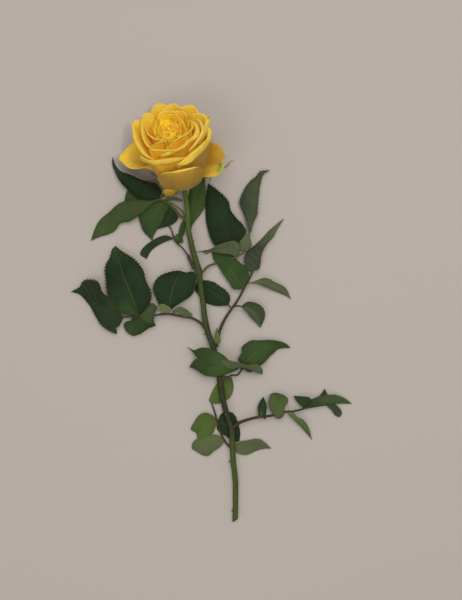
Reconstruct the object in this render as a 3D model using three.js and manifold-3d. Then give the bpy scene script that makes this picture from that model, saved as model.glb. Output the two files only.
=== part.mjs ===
// A cut rose laid down on a flat surface: one bloom, one thorned stem and nine
// compound leaves. Millimetres, +Z up, the stem along Y with the bloom at +Y.
//
// Outlines are written as [across, down, height]: the first two are places on
// a drawing seen from above, and PLACE turns them into millimetres.
import * as THREE from "three";
import Module from "manifold-3d";

const wasm = await Module();
wasm.setup();

// ---- driving dimensions ---------------------------------------------------
const GUARD_LIFT = 0.55; // how soon a hanging petal rises to its rim
const VIEW_HEIGHT = 1115; // height the outlines are drawn from, mm
const CENTRE = [21, 12.6]; // drawing centre in the part's frame, mm
const DRAWING = [231, 300]; // the same point on the drawing
const SHIFT = [0.85, 2.19]; // moves the whole rose so that its box is centred
const BLOOM_AT = [-34.2, 146, 17]; // top of the receptacle, mm
const BLOOM_AXIS = [-0.19, 0.706, 0.682]; // the way the bloom faces
const LEAF_THICK = 0.8;
const PETAL_THICK = 0.8;
const SEPAL_THICK = 0.9;
const GAP = 0.35; // left between neighbours
const FLOOR_CLEAR = 0.5; // lowest mid-surface height, mm
const TIDY = 0.06; // finest detail kept after cutting, mm
const STEM_SIDES = 8;
const STALK_SIDES = 5;

// ---- outlines -------------------------------------------------------------
const STEM = [[235.2,520,3.0],[235.5,500,3.6],[235.3,480,4.6],[233.1,460,5.6],[232.3,440,6.4],[231.8,430,6.6],[228.5,420,6.8],[223.2,400,7.0],[220,380,7.1],[214,349,7.2],[208.8,335,7.3],[205,320,7.4],[202.7,300,7.5],[201.1,290,7.5],[198.5,270,7.6],[192.8,250,7.8],[188.7,230,8.0],[187.5,210,8.6],[186.2,200,9.2],[185.2,194,9.1],[184.4,190,9.2]];
const STEM_R = [[520,3.0],[500,2.95],[450,3.05],[428,3.6],[420,3.1],[395,3.1],[386,3.7],[378,3.15],[330,3.1],[322,3.4],[310,3.05],[280,3.1],[271,3.9],[262,3.1],[230,2.9],[219,3.2],[212,2.7],[190,2.75]];
const THORNS = [[230.0,461,180,3.2],[231.6,510,175,2.2],[218.6,397,190,3.4],[205.6,333,170,2.6],[199.2,292,185,2.4],[190.5,240,15,2.2],[229.6,424,-30,2.6]];
const RACHIS = [
["leaf_upper_left",[[185.2,218.9,8.2],[181.3,216.5,8.4],[174.6,209.7,9],[167.9,203,9.6],[160.5,199.4,9.8],[153.7,201.2,9.4]],1.45,1.0],
["leaf_upper_left",[[184.8,217,8.4],[183,212.6,8.8],[180.6,209.6,9.4],[176.4,206.4,10.4],[172.4,203.8,10.2],[168.6,201.9,9.9]],1.0,0.7],
["leaf_small_left",[[194.6,268.4,7.4],[191,261.8,7.6],[188.2,255.6,6.8]],2.5,1.7],
["leaf_small_left",[[188.4,256.0,6.8],[182.6,248,6],[176,242,5],[171,229,3.2],[164.4,218.6,2.2]],0.95,0.7],
["leaf_left",[[205.4,329.2,7.4],[201.4,323.7,8],[196,320,8.4],[190.6,317.4,8.4],[183.4,316.5,8.2],[176.2,315.1,8],[167.7,313.8,8],[155,315,7],[139,316,6.4],[120.4,317.2,5.4]],1.7,0.95],
["leaf_behind_bloom",[[188.8,231,7.2],[190.3,228.6,5.4],[190.9,222,3.8]],1.3,0.9],
["leaf_upper_right",[[200.6,273.6,7.4],[204,270.6,8.2],[208.5,266.2,7.6],[213,264.3,5.6],[220,262,3.4],[227,260,3.8],[232.4,258.2,6.6],[236,257,9],[244.8,251.4,8.8],[249,240,8.4],[249.2,232,8.4]],1.5,0.9],
["leaf_upper_right",[[240,254.6,8.8],[236,248,7.4],[233,241,6.4]],0.9,0.8],
["leaf_right",[[216.4,347,7.4],[218,338,8.4],[220,330,8.8],[225,319,9.2],[231.6,309,9.2],[237,301.4,9],[242.6,291.5,8.6],[245.9,285,8.6],[249.2,279.4,8.4],[253.2,270.4,8.2]],2.1,0.9],
["leaf_right",[[233.6,306.8,9.2],[237,305.8,9.4],[241,306.3,9.2]],0.9,0.85],
["leaf_right",[[231.6,309,9.2],[230,306.5,8],[228,304.6,6.6]],0.9,0.8],
["leaf_lower_middle",[[220.6,386.6,7.6],[222,380,9.2],[222.6,376.6,9.6],[228,377.2,9.8],[232,375.2,10],[237.6,375,10.2],[239.8,372.4,10.4],[242.8,368.2,10.4]],1.7,0.9],
["leaf_lower_middle",[[239.4,373,10.3],[241.6,370.4,11.4],[240,367.3,12]],0.9,0.8],
["leaf_low_left",[[232.2,448.6,6],[229.8,447,5.4],[225,441,4],[220.8,432.6,3],[217.8,423,2.8],[214.8,412.2,2.8],[211.6,403,2.8]],1.25,0.85],
["leaf_low_left",[[227.6,444.6,4.6],[229.6,445.2,3],[233,445,2.2]],0.9,0.8],
["side_shoot",[[231.6,428.4,6.6],[236.4,424.8,7.6],[240,422.4,8],[244.8,420.6,8],[252,418.4,8],[259.2,417,8],[266.4,416.4,8],[273,415.2,8],[283.2,413.2,7.6],[286.8,411.6,7.4],[292.8,411.4,7],[300,409.8,6.4],[306,408,5.6],[326,404.6,4.4]],2.1,0.85],
["side_shoot",[[258.6,416.8,8],[259,413.4,9],[260.4,411.6,9.6]],0.85,0.8]
];
const LEAFLETS = [
["leaf_upper_left","a",[[160,199.4,9.8],[152,194,11.5],[135,187,13.5],[120,177.6,11],[112.6,157,3.5]],[[161.2,190.3],[156.7,184],[150,182.5],[139.5,178.8],[130.6,174.6],[120,170.5],[115,164]],[[149,199.3],[137,197],[127.6,189.6],[120,181.4],[114.9,171.7],[112.3,164]],[-2,-4,1.5]],
["leaf_upper_left","b",[[156.2,200.4,9.5],[153.7,201.2,9.4],[135.8,208.3,9.6],[117,216.5,7.5],[104.4,224.7,4.5],[91,240.7,1.2]],[[147,200.2],[135,200],[124.6,201.2],[117,205],[109.6,212],[99.2,221],[93.2,233.6]],[[149,207],[139,215.7],[129.8,221.3],[120.5,223.2],[115.6,229.9],[110.4,233.3],[99.9,236.6]],[-2.5,-2.5,1.5]],
["leaf_upper_left","c",[[154,201.1,9.4],[154,200.6,8.4],[144,197,5.6],[135,196.4,4.4],[125.2,196,2.4]],[[151,192],[142,189.5],[134,189.2],[128,190]],[[151,206],[142,205.6],[134,204.5],[125.3,200.8]],[-1,-1,0.5]],
["leaf_upper_left","d",[[163.3,200.8,9.7],[163,201.6,8.6],[156,212,6.8],[151.4,226,5.6],[152.6,240.4,3.6]],[[150,203],[141,210],[139,216.5],[140.3,223],[143.3,230.7],[148.5,236.6]],[[169.4,205.3],[164.2,217.2],[161.2,223.2],[156.7,230],[153.3,236]],[-1.5,-2,1]],
["leaf_upper_left","e",[[171.6,206.7,9.3],[171.6,206.8,8.2],[169.6,216,5.6],[158,229,3.8]],[[178,217.5],[174.6,223],[168,226]],[[165,212],[161,219],[158,225]],[-1.5,-1,0.5]],
["leaf_upper_left","arc",[[163.7,201,9.7],[169,197.8,11],[174.6,198.2,11.6],[179,199.2,11.2],[183.4,201.4,10.2]],[[166,198.2],[174.6,196.9],[181,199]],[[166,201],[174.6,199.6],[180,201]],[-2,-2,0.2]],
["leaf_small_left","h",[[174.6,238.3,4.5],[173,239,4.2],[164,239,3],[153,244.5,2.6],[146,250,2.2],[146.6,259,1.2]],[[164.9,235.5],[152.2,240.7],[142.5,248.6],[140.3,254]],[[163.4,242.6],[154.5,247.8],[150,252.3]],[-1,-1.4,1.2]],
["leaf_small_left","lobe",[[174.2,237.4,4.4],[178,239,4],[183.4,242.6,3]],[[177,234],[181.6,236.5]],[[175,241.6],[180,243.2]],[-0.6,-0.6,0.4]],
["leaf_small_left","g",[[178.4,244.2,5.4],[180.6,236,5.2],[182.2,228,5],[183.6,219.4,4.4]],[[178.6,234],[180.2,226],[182.6,221]],[[183.4,235],[185,227],[184.6,222]],[-0.6,-0.6,0.4]],
["leaf_left","i",[[138.9,316,6.4],[134.4,303.4,9],[130.3,292.6,11],[125.8,281.8,12],[121.8,271,11.4],[115.5,245.8,5.5]],[[125.8,314.7],[116.8,309.7],[108.7,297],[106.9,289],[105.6,277],[104.9,271],[106.5,263.8],[110,257.5],[112.3,249.4]],[[145.6,310.2],[150,303.4],[151.5,296],[150,289],[146,281],[143.4,271],[139.3,264.7],[133,258.4],[120.4,250.3]],[-3,-3,2.2]],
["leaf_left","j",[[123.6,317.1,5.6],[120.2,317.4,6.4],[108,308,9.2],[95,300,8.2],[83,294,5.2],[71,291.7,1.6]],[[117.4,309],[115,301.6],[108.7,297],[102.9,292.6],[100.6,286.3],[97.9,281.4],[87,279.7],[83,281.8],[79.9,287]],[[122,321],[119.6,325.4],[116.2,328.2],[117,333.6],[110.5,331.6],[101.5,325],[95.2,315],[91.6,308],[86.2,300.7],[79.9,294.4]],[1.4,-3.4,1.2]],
["leaf_left","k",[[138.2,316.1,6.4],[139,316,6.4],[144,319,9.6],[149.6,322,9.4],[155.8,325.4,5.5]],[[133.6,316],[131,320.4],[125,322],[123.7,326],[127,332],[133,335.6],[140,334],[147.4,329]],[[143,311.4],[147.4,306],[151.4,303.2],[154.6,304],[156.8,308],[154.2,314],[153.8,321]],[-5,-4.5,1.6]],
["leaf_left","l",[[167.9,313.8,8],[168.6,309,8.4],[171.7,292.6,11.5],[174.4,284.5,12],[178.4,276.6,10],[186,272.6,6.5]],[[159,304],[154.2,293.5],[153,288],[155,281.5],[160,276],[170,272],[179,270.8]],[[174.4,307],[183.4,301.2],[190.6,296.2],[194.2,290.8],[195.6,282],[195.4,275],[192,271.6]],[-4,-5,2]],
["leaf_left","m1",[[168.5,313.9,8],[168.6,313,8.4],[165.4,309.6,9.6],[158,305.6,9]],[[171.6,309.6],[167,305.6],[162,303.8]],[[166.4,313.4],[162,311.4],[158.4,308.4]],[0.8,-0.4,0.2]],
["leaf_left","m2",[[172.9,314.6,8],[173.5,310.2,8.6],[181,310.6,10],[192.9,314.7,9.6]],[[176.6,307.6],[182.4,307.2],[188.4,311]],[[177.6,312.4],[183,316.4],[188,317.6]],[-0.8,-0.8,0.4]],
["leaf_behind_bloom","f",[[190.3,228.6,5.4],[190.8,229,4.4],[192,213.4,3.6],[196.6,195.8,3.2],[200.6,182,2.4],[202.6,170,1.2]],[[188.2,219],[187.8,204],[190,190],[196,178]],[[195.3,221],[199.7,215.6],[204.6,207],[205.6,191],[204.6,178]],[-1.2,-1.2,0.8]],
["leaf_upper_right","n",[[233.3,241.8,6.5],[226,230,7.2],[221.2,217.8,7],[216.2,205,5.6],[208,183.2,2]],[[222,246.4],[215,245.3],[210.7,238.7],[208,230],[206,220],[205.6,210],[205.6,200],[206.9,191.4]],[[238.8,241.6],[243.7,236.5],[246.5,232],[245.4,228.8],[241.5,223.3],[236,217.8],[230.5,210],[228.9,202.4],[225,197],[219.5,192],[214,187.6]],[-2.5,-2.5,1.6]],
["leaf_upper_right","o",[[249.2,233,8.4],[250.6,212,10],[252.6,194,9],[258.6,178,6.4],[270,170,2.6]],[[247,224.4],[244.8,216.7],[239.5,203.5],[240.4,199],[244.8,189],[249.2,182.6],[255.8,177],[259.7,172]],[[250.9,232],[253.6,222],[256.9,215.6],[257.5,205.7],[258.6,194.7],[260.8,180.4],[263.5,173.8]],[-3,-3,1.5]],
["leaf_upper_right","q",[[245.3,250,8.8],[246.6,250.4,9.4],[246,243,12.4],[248.8,233.2,12.6]],[[239.6,250.4],[239.2,242.6],[243.9,236.9]],[[251.6,247],[250.6,240]],[-1.6,-1,0.8]],
["leaf_upper_right","p",[[236,257,9.2],[226,250.4,12],[212,250.2,13],[196,252.3,12.6]],[[240,246.8],[235,241],[229.4,241.4],[222.8,243.2],[216.2,246.2],[210.7,249],[203,250.6]],[[230,254.4],[222,253.6],[212,252],[206.9,254.2],[202,251.9]],[3.5,-0.6,0.8]],
["leaf_right","r",[[243.8,289.2,8.6],[238.2,281.6,8.4],[232.2,272.3,8.2],[226.4,263.6,7.2],[211,249,3.4]],[[233.3,288.8],[229.4,282.7],[223.9,275],[218.4,266],[214,259.6]],[[248,283],[249,275],[248,270.6],[244.8,266],[240.4,263],[234,257],[224,250]],[-1,-0.6,0.8]],
["leaf_right","s",[[253.1,270.6,8.2],[256.9,259.6,8.8],[262.4,248.6,8],[269,239.8,6.4],[275.6,231,4.4],[283.9,218.4,1.4]],[[248,270.6],[244.5,263],[244.8,256.3],[247,251.4],[253.6,246.4],[260.2,240.4],[269,231],[275.6,225]],[[258.6,269.5],[260.2,265],[260.8,258.5],[262.4,252],[266.8,244.2],[273.4,236.5],[276.7,230]],[-2.8,-1.5,1.2]],
["leaf_right","t",[[246.9,283.4,8.5],[256,282.3,10],[264,282,10],[271,284.2,8.4],[280,289,5.4],[291,299.2,1.6]],[[254.7,281],[260.2,279],[264.6,278],[270,279.4],[274.5,282],[281,285],[285.5,288]],[[256.9,283.8],[263.5,286],[271,289.3],[280,293],[286.6,296]],[-3,-3,1]],
["leaf_right","u",[[240.8,306.4,9.2],[249,308,10.4],[256.6,314,9],[260.2,327.8,3]],[[247,302],[252.5,302],[258,303.8],[262.4,307],[264.8,312.4],[264.6,318]],[[242.6,308],[247,312.4],[251.4,318],[256.9,323.4]],[-2.4,-2.4,1.2]],
["leaf_right","v",[[228.6,305.2,7],[224,300.3,4.6],[216.2,294.6,2.6],[208.5,289.6,1.4],[195,291,0.7]],[[230.2,300],[229.4,294.8],[226,290.4],[219.5,286],[214,282.2],[203.4,280.5],[196.4,284]],[[219.5,306],[212.9,305.3],[205.8,302.5],[199.7,296]],[-0.5,-0.5,0.6]],
["leaf_right","bud",[[216.6,345.7,7.5],[217.4,345,9],[217.6,338,10.4],[216.8,327.4,9.8]],[[214.8,342],[215,336],[215.8,331]],[[220.4,342],[219.8,336],[218.2,331]],[-1.2,-1.2,0.5]],
["leaf_lower_middle","w1",[[229,361,13.4],[218,356,14],[206,353,13.4],[196,351,11.6],[187,347,9]],[[225.8,357],[218.4,352],[210.4,349],[205.6,347.6],[200,348.2],[193,350.4]],[[222,362],[212,361],[203,360],[197,357],[192,351.4]],[-2,0.2,0.8]],
["leaf_lower_middle","w2",[[240,367.5,12],[228,368,14.2],[216,367.6,15],[202,367,13.4],[189.4,367.1,9.5]],[[234,362],[224,359],[210,358.4],[198,358.4],[193.6,361]],[[236,370.6],[228,373.6],[220,376.2],[209.6,376.2],[204,374.8],[196,369.6]],[-1,-2.4,1.2]],
["leaf_lower_middle","x",[[242.8,368.2,10.4],[246.4,362,10.8],[250.4,357.2,10.8],[257,351,10],[270,346,7.6],[290.8,347.8,2.4]],[[241,364],[237.8,360],[240,355.6],[242,352.4],[241.4,348.4],[244,344.8],[252,340.4],[258,340.4],[268,340],[276,340.6],[284.8,343.2]],[[249,372.4],[256,369.6],[260,366],[264.8,362],[270,356],[273.6,353.2],[277.6,349.2],[285.6,347.8]],[-2.4,-3,1.6]],
["leaf_lower_middle","y",[[221,359.6,16],[232,364,16.4],[245,366.6,15.6],[256,368,13.6],[262.4,374.6,10]],[[228,360.2],[240.8,363.2],[248,365],[256,364],[261.4,367.4],[263,371]],[[225.6,366.6],[231.2,369],[241.6,367.8],[252,370.6],[257,372.6]],[-0.6,-0.8,0.4]],
["leaf_low_left","z",[[211.8,403.2,2.8],[220,394,2.2],[227,386,1.6],[231.4,377.6,0.9]],[[209.2,401],[211.2,394],[215.2,386],[219,382],[226,378.4]],[[219,403.6],[226.4,400],[229.6,398],[232.8,391.6],[233.4,386.8],[232.6,381]],[-0.4,-0.4,0.4]],
["leaf_low_left","aa",[[217.1,420.4,2.8],[211,421.4,4],[204,424.6,4],[196.4,433,2]],[[214.4,417.2],[208.8,413.4],[204.6,412.8],[199.2,415.2],[194.4,421.8],[191,429]],[[215.8,426],[213,432.6],[206,438.2],[198,438.4]],[-1,-1,1]],
["leaf_low_left","ab",[[225.1,441.1,4],[223.8,442.2,3.6],[214,444,4],[204,446.6,3.4],[192,448.8,1.4]],[[222,437.6],[217,435],[213,434.6],[204,437],[195.6,439.8],[192,444.6]],[[219.6,447.4],[213.6,451.2],[209.4,455.2],[204,455.6],[198,452.4]],[-1,-1,0.8]],
["leaf_low_left","ac",[[217.5,422,2.8],[218.8,421.6,2.6],[226,424.6,1.6],[233,431.6,1.2],[239.4,441,0.7]],[[220.2,414.8],[223.2,412.4],[230.4,411.8],[234.6,414.8],[238.8,425.4],[240.2,433]],[[216.6,427.6],[220,433],[224.4,435],[229.2,438.6],[236.4,441.6]],[-0.3,-0.3,0.3]],
["leaf_low_left","ad",[[232.6,445.2,2.2],[244,446.4,2],[257,446,2],[271.2,448.4,0.8]],[[240,441.6],[247.2,440.4],[254.4,439],[259.8,439.2],[264.4,442.2]],[[236,452],[245.4,454.8],[256.8,450.6],[263,448.8]],[-0.4,-0.6,0.5]],
["side_shoot","af",[[260.2,411.8,9.5],[264.4,410,9.8],[264,404,9],[263.6,397,5.8]],[[259.4,416.4],[257.6,408],[260.6,400.4]],[[265,419.6],[266.2,413],[266.4,405]],[-1.4,-1,0.4]],
["side_shoot","ag",[[273.3,415.1,8],[276,409,10.4],[278.6,402,10],[279,393.4,5]],[[269.8,408],[268.6,403.8],[269.4,397.8],[270.6,394.2],[276,392.8]],[[277,418.4],[280.2,418.6],[282.6,417],[285,412.2],[284.4,407.4],[287.4,403.2],[288,399],[284.4,395.4]],[-2,-2,1.4]],
["side_shoot","ah",[[287.1,411.6,7.4],[294,415,8.4],[302,422.6,7.4],[308,431,4.6],[312,439.8,1.6]],[[292.8,412.4],[297,416.6],[302.4,419.2],[305,421.8],[308.6,428]],[[289.2,414.8],[295.2,420.8],[301.2,426.8],[307.2,433.8]],[-2,-2,0.8]],
["side_shoot","ai",[[304.7,408.4,5.8],[302.4,404,7.8],[299,400,8],[293.6,395.8,6]],[[312,401],[309,397.4],[302,396.4]],[[303,407.4],[298.8,403.4],[295.4,399.4]],[-1.2,-1.2,0.6]],
["side_shoot","aj",[[305.7,408.1,5.6],[318,401.6,6.6],[332,399.6,5.4],[351.8,403.6,1.2]],[[308.6,401],[314.4,398.2],[322.8,395.4],[328.8,394.8],[334.8,394.8],[340.8,396.6],[346.8,399.8]],[[311,407.4],[324,405],[334,404],[341,403.4],[347,403.6]],[-1.6,-1.6,0.8]],
["side_shoot","ajs",[[320.2,401.6,6.2],[322,400.6,4.6],[323.4,395,3.4],[324.5,388.8,2]],[[319,397.4],[322.4,392.4]],[[327.6,396.4],[326.4,392.4]],[-0.4,-0.4,0.2]],
["side_shoot","ak",[[325.7,404.7,4.4],[332,407.4,3.8],[337,411.6,2.8],[339.8,417.2,1.4]],[[331,404.4],[335,404.4],[340.2,409.2],[341.8,413.4]],[[328,406.8],[331.4,410],[335.4,415.4]],[-0.6,-0.6,0.4]]
];
const PETALS = [
["petal_guard_left",0.5,1.0,[[152,159.5,40],[147.5,165.6,31],[131.5,167.8,24],[122.4,161.8,26],[119.3,157.7,28],[125.2,149.3,33],[134,140.5,40]],[],2.2],
["petal_guard_right",0.6,0.98,[[214,163.4,27],[221.7,162,28],[224.8,155.9,30],[223,152.3,32],[220.8,146.5,35],[216.3,143.8,37],[210,141.5,40]],[],1.2],
["petal_guard_low_right",0.0,0.9,[[204,177,13],[212,176.4,14],[217.7,175,16],[223.5,168,20],[221.6,162.4,25],[217.7,159.5,27]],[],1.0],
["petal_cup_front",1.2,1.07,[[157,178.6,36],[160.4,174.8,42],[166,172.6,45.5],[172,172.4,47.5],[178,171.5,48.5],[185,169.9,49],[192,168.4,49],[198,167.3,47.5],[202,168.6,44.5],[203.4,172.6,39.5]],[],1.4],
["petal_roll_front_left",2.2,1.0,[[140.8,155.4,56],[143.4,157.6,56.6],[148,159.6,57],[155,160.2,57],[165,158.8,57],[175,157.6,58],[181,157.6,58],[185.4,157.2,58]],[[141.2,160.2,52.2],[144.4,162.2,52.8],[149.6,163.6,53.4],[155,166,52],[159.4,164.2,53.2],[167,164,53],[175,162.4,54.2],[184.6,159.4,56.4]],0],
["petal_roll_front_right",1.62,1.02,[[176.8,164.4,54.6],[182,160.8,57],[187,156.4,58],[191.4,152.6,59.5],[196,148.9,60],[201,144.3,60],[205.4,140.6,59],[208.6,139.4,57.6]],[[178.6,165.6,53.2],[185,165.1,52.8],[191,162.8,52.2],[197,157.4,52.8],[203,151.2,53.8],[207.2,146.4,53],[210,141.8,55]],0],
["petal_left_outer",1.5,1.06,[[153.6,160.8,48.5],[150,158.9,50.6],[146,156.6,53],[141,151.6,55.5],[136.4,144,58],[133.4,136,60],[132.2,129,61],[132.2,123.2,62],[135,120.4,63],[141.6,119.6,63]],[],2.4],
["petal_left_second",3.0,1.03,[[150.6,149.6,57],[146,145,58.5],[142.8,138.6,60],[141.4,130,62],[141.2,121,64],[142.8,115,65.4],[146,112.8,66],[151.4,112.7,66]],[],2.4],
["petal_back_left",1.4,1.06,[[149.6,116,62],[151.2,110.6,63.4],[154.6,105.2,64],[158.6,103.3,64],[162.8,103.8,64],[166.4,105.8,63.6],[171,108.6,62]],[],2.0],
["petal_back_middle",2.4,1.05,[[159.6,113,65],[163,108.6,66.4],[167,105.6,67],[170.6,103.9,67],[174,103.6,67],[177.2,105,67],[181.4,106.8,66.6],[186.4,108.8,65]],[],2.6],
["petal_back_right",1.6,1.06,[[178.6,109,64],[183.4,106.2,66],[187.5,105.3,66],[191.4,105.2,66],[194.8,107,65],[197.4,110.4,63.6],[199.2,114,62]],[],2.2],
["petal_right_top",2.1,1.04,[[193,113.2,63.6],[198.4,113,64],[203,113.3,63],[206.2,114.6,62],[208.4,117.8,61],[208,122.4,60],[206.4,128,58.4],[204.6,134,57],[202,140,56],[198.6,145,55.4]],[],5],
["petal_right_outer",1.3,1.05,[[205.6,119,59],[207.6,123.6,57.6],[209.4,128,56],[210.5,133,55],[209.9,138.2,54],[207.8,142.4,52.6]],[],4.4],
["petal_inner_right_b",3.3,1.02,[[198,118,65],[201.4,120.6,64.6],[203.4,125,63.6],[203.6,130,62.6],[201.8,135.4,61.4],[198,141,60.2],[194,146.4,59.2],[189.6,151.6,58]],[],3],
["petal_inner_right_a",4.4,1.02,[[190.6,120,66],[194.4,120.8,65.4],[197,123.6,64.6],[198.6,128,63.4],[198.4,132,62.4],[195.8,136.6,61.2],[192,139.9,60.2],[187.6,142.6,59.6]],[],4.6],
["petal_inner_front",3.2,1.03,[[148.6,149,60],[153,149.3,60],[160,149.5,60],[168,149.5,60],[175,149,60.2],[180.6,146,61],[185.6,142.4,62],[189,139.6,62.4]],[[149,150.6,58.2],[153,151.4,58.4],[160,151.8,58.2],[168,152,58],[175.8,152,57.8],[182,149.4,58.6],[187.2,145.6,59.8],[190,142.4,60.8]],0],
["petal_inner_fold",2.7,1.03,[[160,156,56.4],[164,153.4,57.4],[168.6,151.6,58],[173,150.4,58.6],[177.4,148.9,59],[182.8,145,60],[188.4,140.9,61]],[[160.6,156.6,55.4],[165,156.6,55],[170,155.6,54.8],[175,154,55.2],[179.8,151.6,56],[184.8,147.8,58],[190,142.8,59.6]],0],
["petal_inner_left",4.3,1.01,[[144.9,125,64],[145.3,130,63],[148.2,134.4,62],[152.4,137.6,61.4],[157,139.7,61.2],[161.4,141.3,60.6],[166,141.9,60.4]],[],1.5],
["petal_inner_low",4.2,1.01,[[150.2,145.8,59.6],[155.6,143.6,60.2],[160.4,142.2,60.8],[165,140.9,61.4],[170,138.6,62.2],[175,136.8,63],[181,135,64],[186,132.4,64.6]],[],1.4],
["petal_inner_edge",3.7,1.01,[[165.6,149,59],[170,145.8,60.2],[174,142,61.2],[178,138.6,62.2],[182,136.4,63],[187,134.4,63.8],[190.6,130,64.6]],[],1.2],
["petal_inner_back",3.6,1.02,[[156.6,116.6,65.6],[159.4,113.4,66.6],[164,111.4,67.4],[169,110.8,68],[175,110.8,68],[181,110.8,67.6],[185.4,112.8,66.8],[188,117,65.6]],[],1.8],
["petal_inner_back_b",4.9,1.0,[[155.2,122,66.8],[157.4,118.4,67.8],[161.4,115.8,68.4],[166,114.6,69],[170.6,114.4,69],[174.6,116,69],[177,119,68.6]],[],1.4],
["petal_inner_right_c",5.0,1.0,[[171,111.8,68.6],[175,113.4,68.8],[178.6,116.6,68.6],[181.8,120.2,68.2],[184.8,124.2,67.4],[187,128.2,66.4],[187,131.4,65.6],[183.6,133.4,65.2]],[],1.4],
["petal_inner_right_d",4.7,1.0,[[190,119,66.8],[192.6,122.6,66],[193,127,65],[190.6,131,64.2],[186.6,134.2,63.4],[181.6,136.6,63]],[],1.8],
["petal_inner_left_b",5.2,1.0,[[158.4,117.6,68.4],[155.4,121.4,67.8],[153.8,126,67],[153.6,131,66],[155.4,135.6,65.2],[159.4,138.4,64.6],[164,139.2,64.4]],[],1.2],
["petal_heart_a",6.0,1.0,[[176,117,68.8],[179.4,119.8,68.2],[180.7,124,67.6],[181.2,129,66.8],[180.6,133,66.2],[177.6,135.6,65.8]],[],1.0],
["petal_heart_b",6.2,1.0,[[158.4,129,68],[158.9,124.4,69],[161.6,121.2,69.6],[165.4,119.8,70],[169.6,120,70],[173,121.8,69.6]],[],0.9],
["petal_heart_c",6.55,1.0,[[157.2,126.6,68.2],[158,130.4,67.6],[160.4,134,67],[164.4,136.3,66.6],[169,136.6,66.6],[173.6,134.9,67]],[],0.9],
["petal_heart_d",6.8,1.0,[[175.6,120.2,69.4],[177.2,124.4,68.8],[176.8,129,68.2],[174.4,132.8,67.8],[170.2,134.2,67.6]],[],0.8],
["petal_heart_e",7.3,1.0,[[162.4,131.6,68.6],[161.9,127.6,69.2],[163.8,124.2,69.8],[167.4,122.6,70.2],[171.2,123.4,70]],[],0.7],
["petal_heart_f",7.7,1.0,[[172.8,124.8,69.8],[173.4,128.2,69.4],[171.4,131,69],[168,131.8,68.8],[165,130.6,69]],[],0.7],
["petal_guard_back",0.2,0.9,[[197,148,22],[190,141,23],[178,137.5,24],[166,138.5,24],[155,143.5,22.5],[149,149,21]],[],1.0],
["petal_guard_fallen",0.0,0.0,[[162.2,192.4,5.2],[165,195.1,4.4],[168.8,196.4,4],[173.2,195,4.4],[178.2,190.8,5.4]],[],0]
];
const SEPALS = [
["sepal_left_a",[[178,176,16],[168,179.4,15],[158.9,179.2,11],[151,180.4,7],[144.7,180.8,3.5]],3.2],
["sepal_left_b",[[177,173,18],[168,174.4,12],[160,174.4,7.5],[154.5,175.2,4.2],[149.6,173,1.8]],3.0],
["sepal_right_a",[[184,178,16],[194,177.4,16],[203,177.2,13],[209.6,176.6,10.5],[210,183,8.4]],3.6],
["sepal_right_b",[[185,174,17],[200,171.6,16],[214,171,14],[223,168.6,12.6],[227.6,165.6,12],[230,162,10.6],[233.4,160.4,9.6]],4.0],
["sepal_back",[[181,176,9],[179,183,4.6],[172,190,2.6],[166.4,193.6,1.6],[160.4,198.4,0.9]],4.2]
];

// ---- small vector helpers -------------------------------------------------
const V = (x, y, z) => new THREE.Vector3(x, y, z);
const lerp = (a, b, t) => a + (b - a) * t;
const floorClamp = (z) =>
  z < FLOOR_CLEAR + 2 ? FLOOR_CLEAR + 2 * Math.exp((z - FLOOR_CLEAR - 2) / 2) : z;

// a place on the drawing, at height z, in millimetres
function PLACE(px, py, z) {
  const s = (VIEW_HEIGHT - z) / 1000;
  return V((px - DRAWING[0]) * s + CENTRE[0], -(py - DRAWING[1]) * s + CENTRE[1], z);
}

// the bloom's own frame
const A = V(...BLOOM_AXIS).normalize();
const E1 = V(1, 0, 0).addScaledVector(A, -A.x).normalize();
const E2 = new THREE.Vector3().crossVectors(A, E1);
const O = V(...BLOOM_AT);
const inBloom = (x, y, h) =>
  O.clone().addScaledVector(E1, x).addScaledVector(E2, y).addScaledVector(A, h);

// the place on the drawing's line of sight that lies h along the bloom's axis
function SIGHT(px, py, h) {
  const eye = V(CENTRE[0], CENTRE[1], VIEW_HEIGHT);
  const d = V((px - DRAWING[0]) / 1000, -(py - DRAWING[1]) / 1000, -1);
  const s = (h - eye.clone().sub(O).dot(A)) / d.dot(A);
  const p = eye.addScaledVector(d, s).sub(O);
  return [p.dot(E1), p.dot(E2), h];
}

// n + 1 places evenly spaced along a smooth curve through the given ones
function resample(points, n, even = true) {
  const curve = new THREE.CatmullRomCurve3(
    points.map((p) => V(p[0], p[1], p[2] ?? 0)), false, "centripetal");
  curve.arcLengthDivisions = 120;
  const out = [];
  for (let i = 0; i <= n; i++) {
    const q = even ? curve.getPointAt(i / n) : curve.getPoint(i / n);
    out.push([q.x, q.y, q.z]);
  }
  return out;
}

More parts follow.
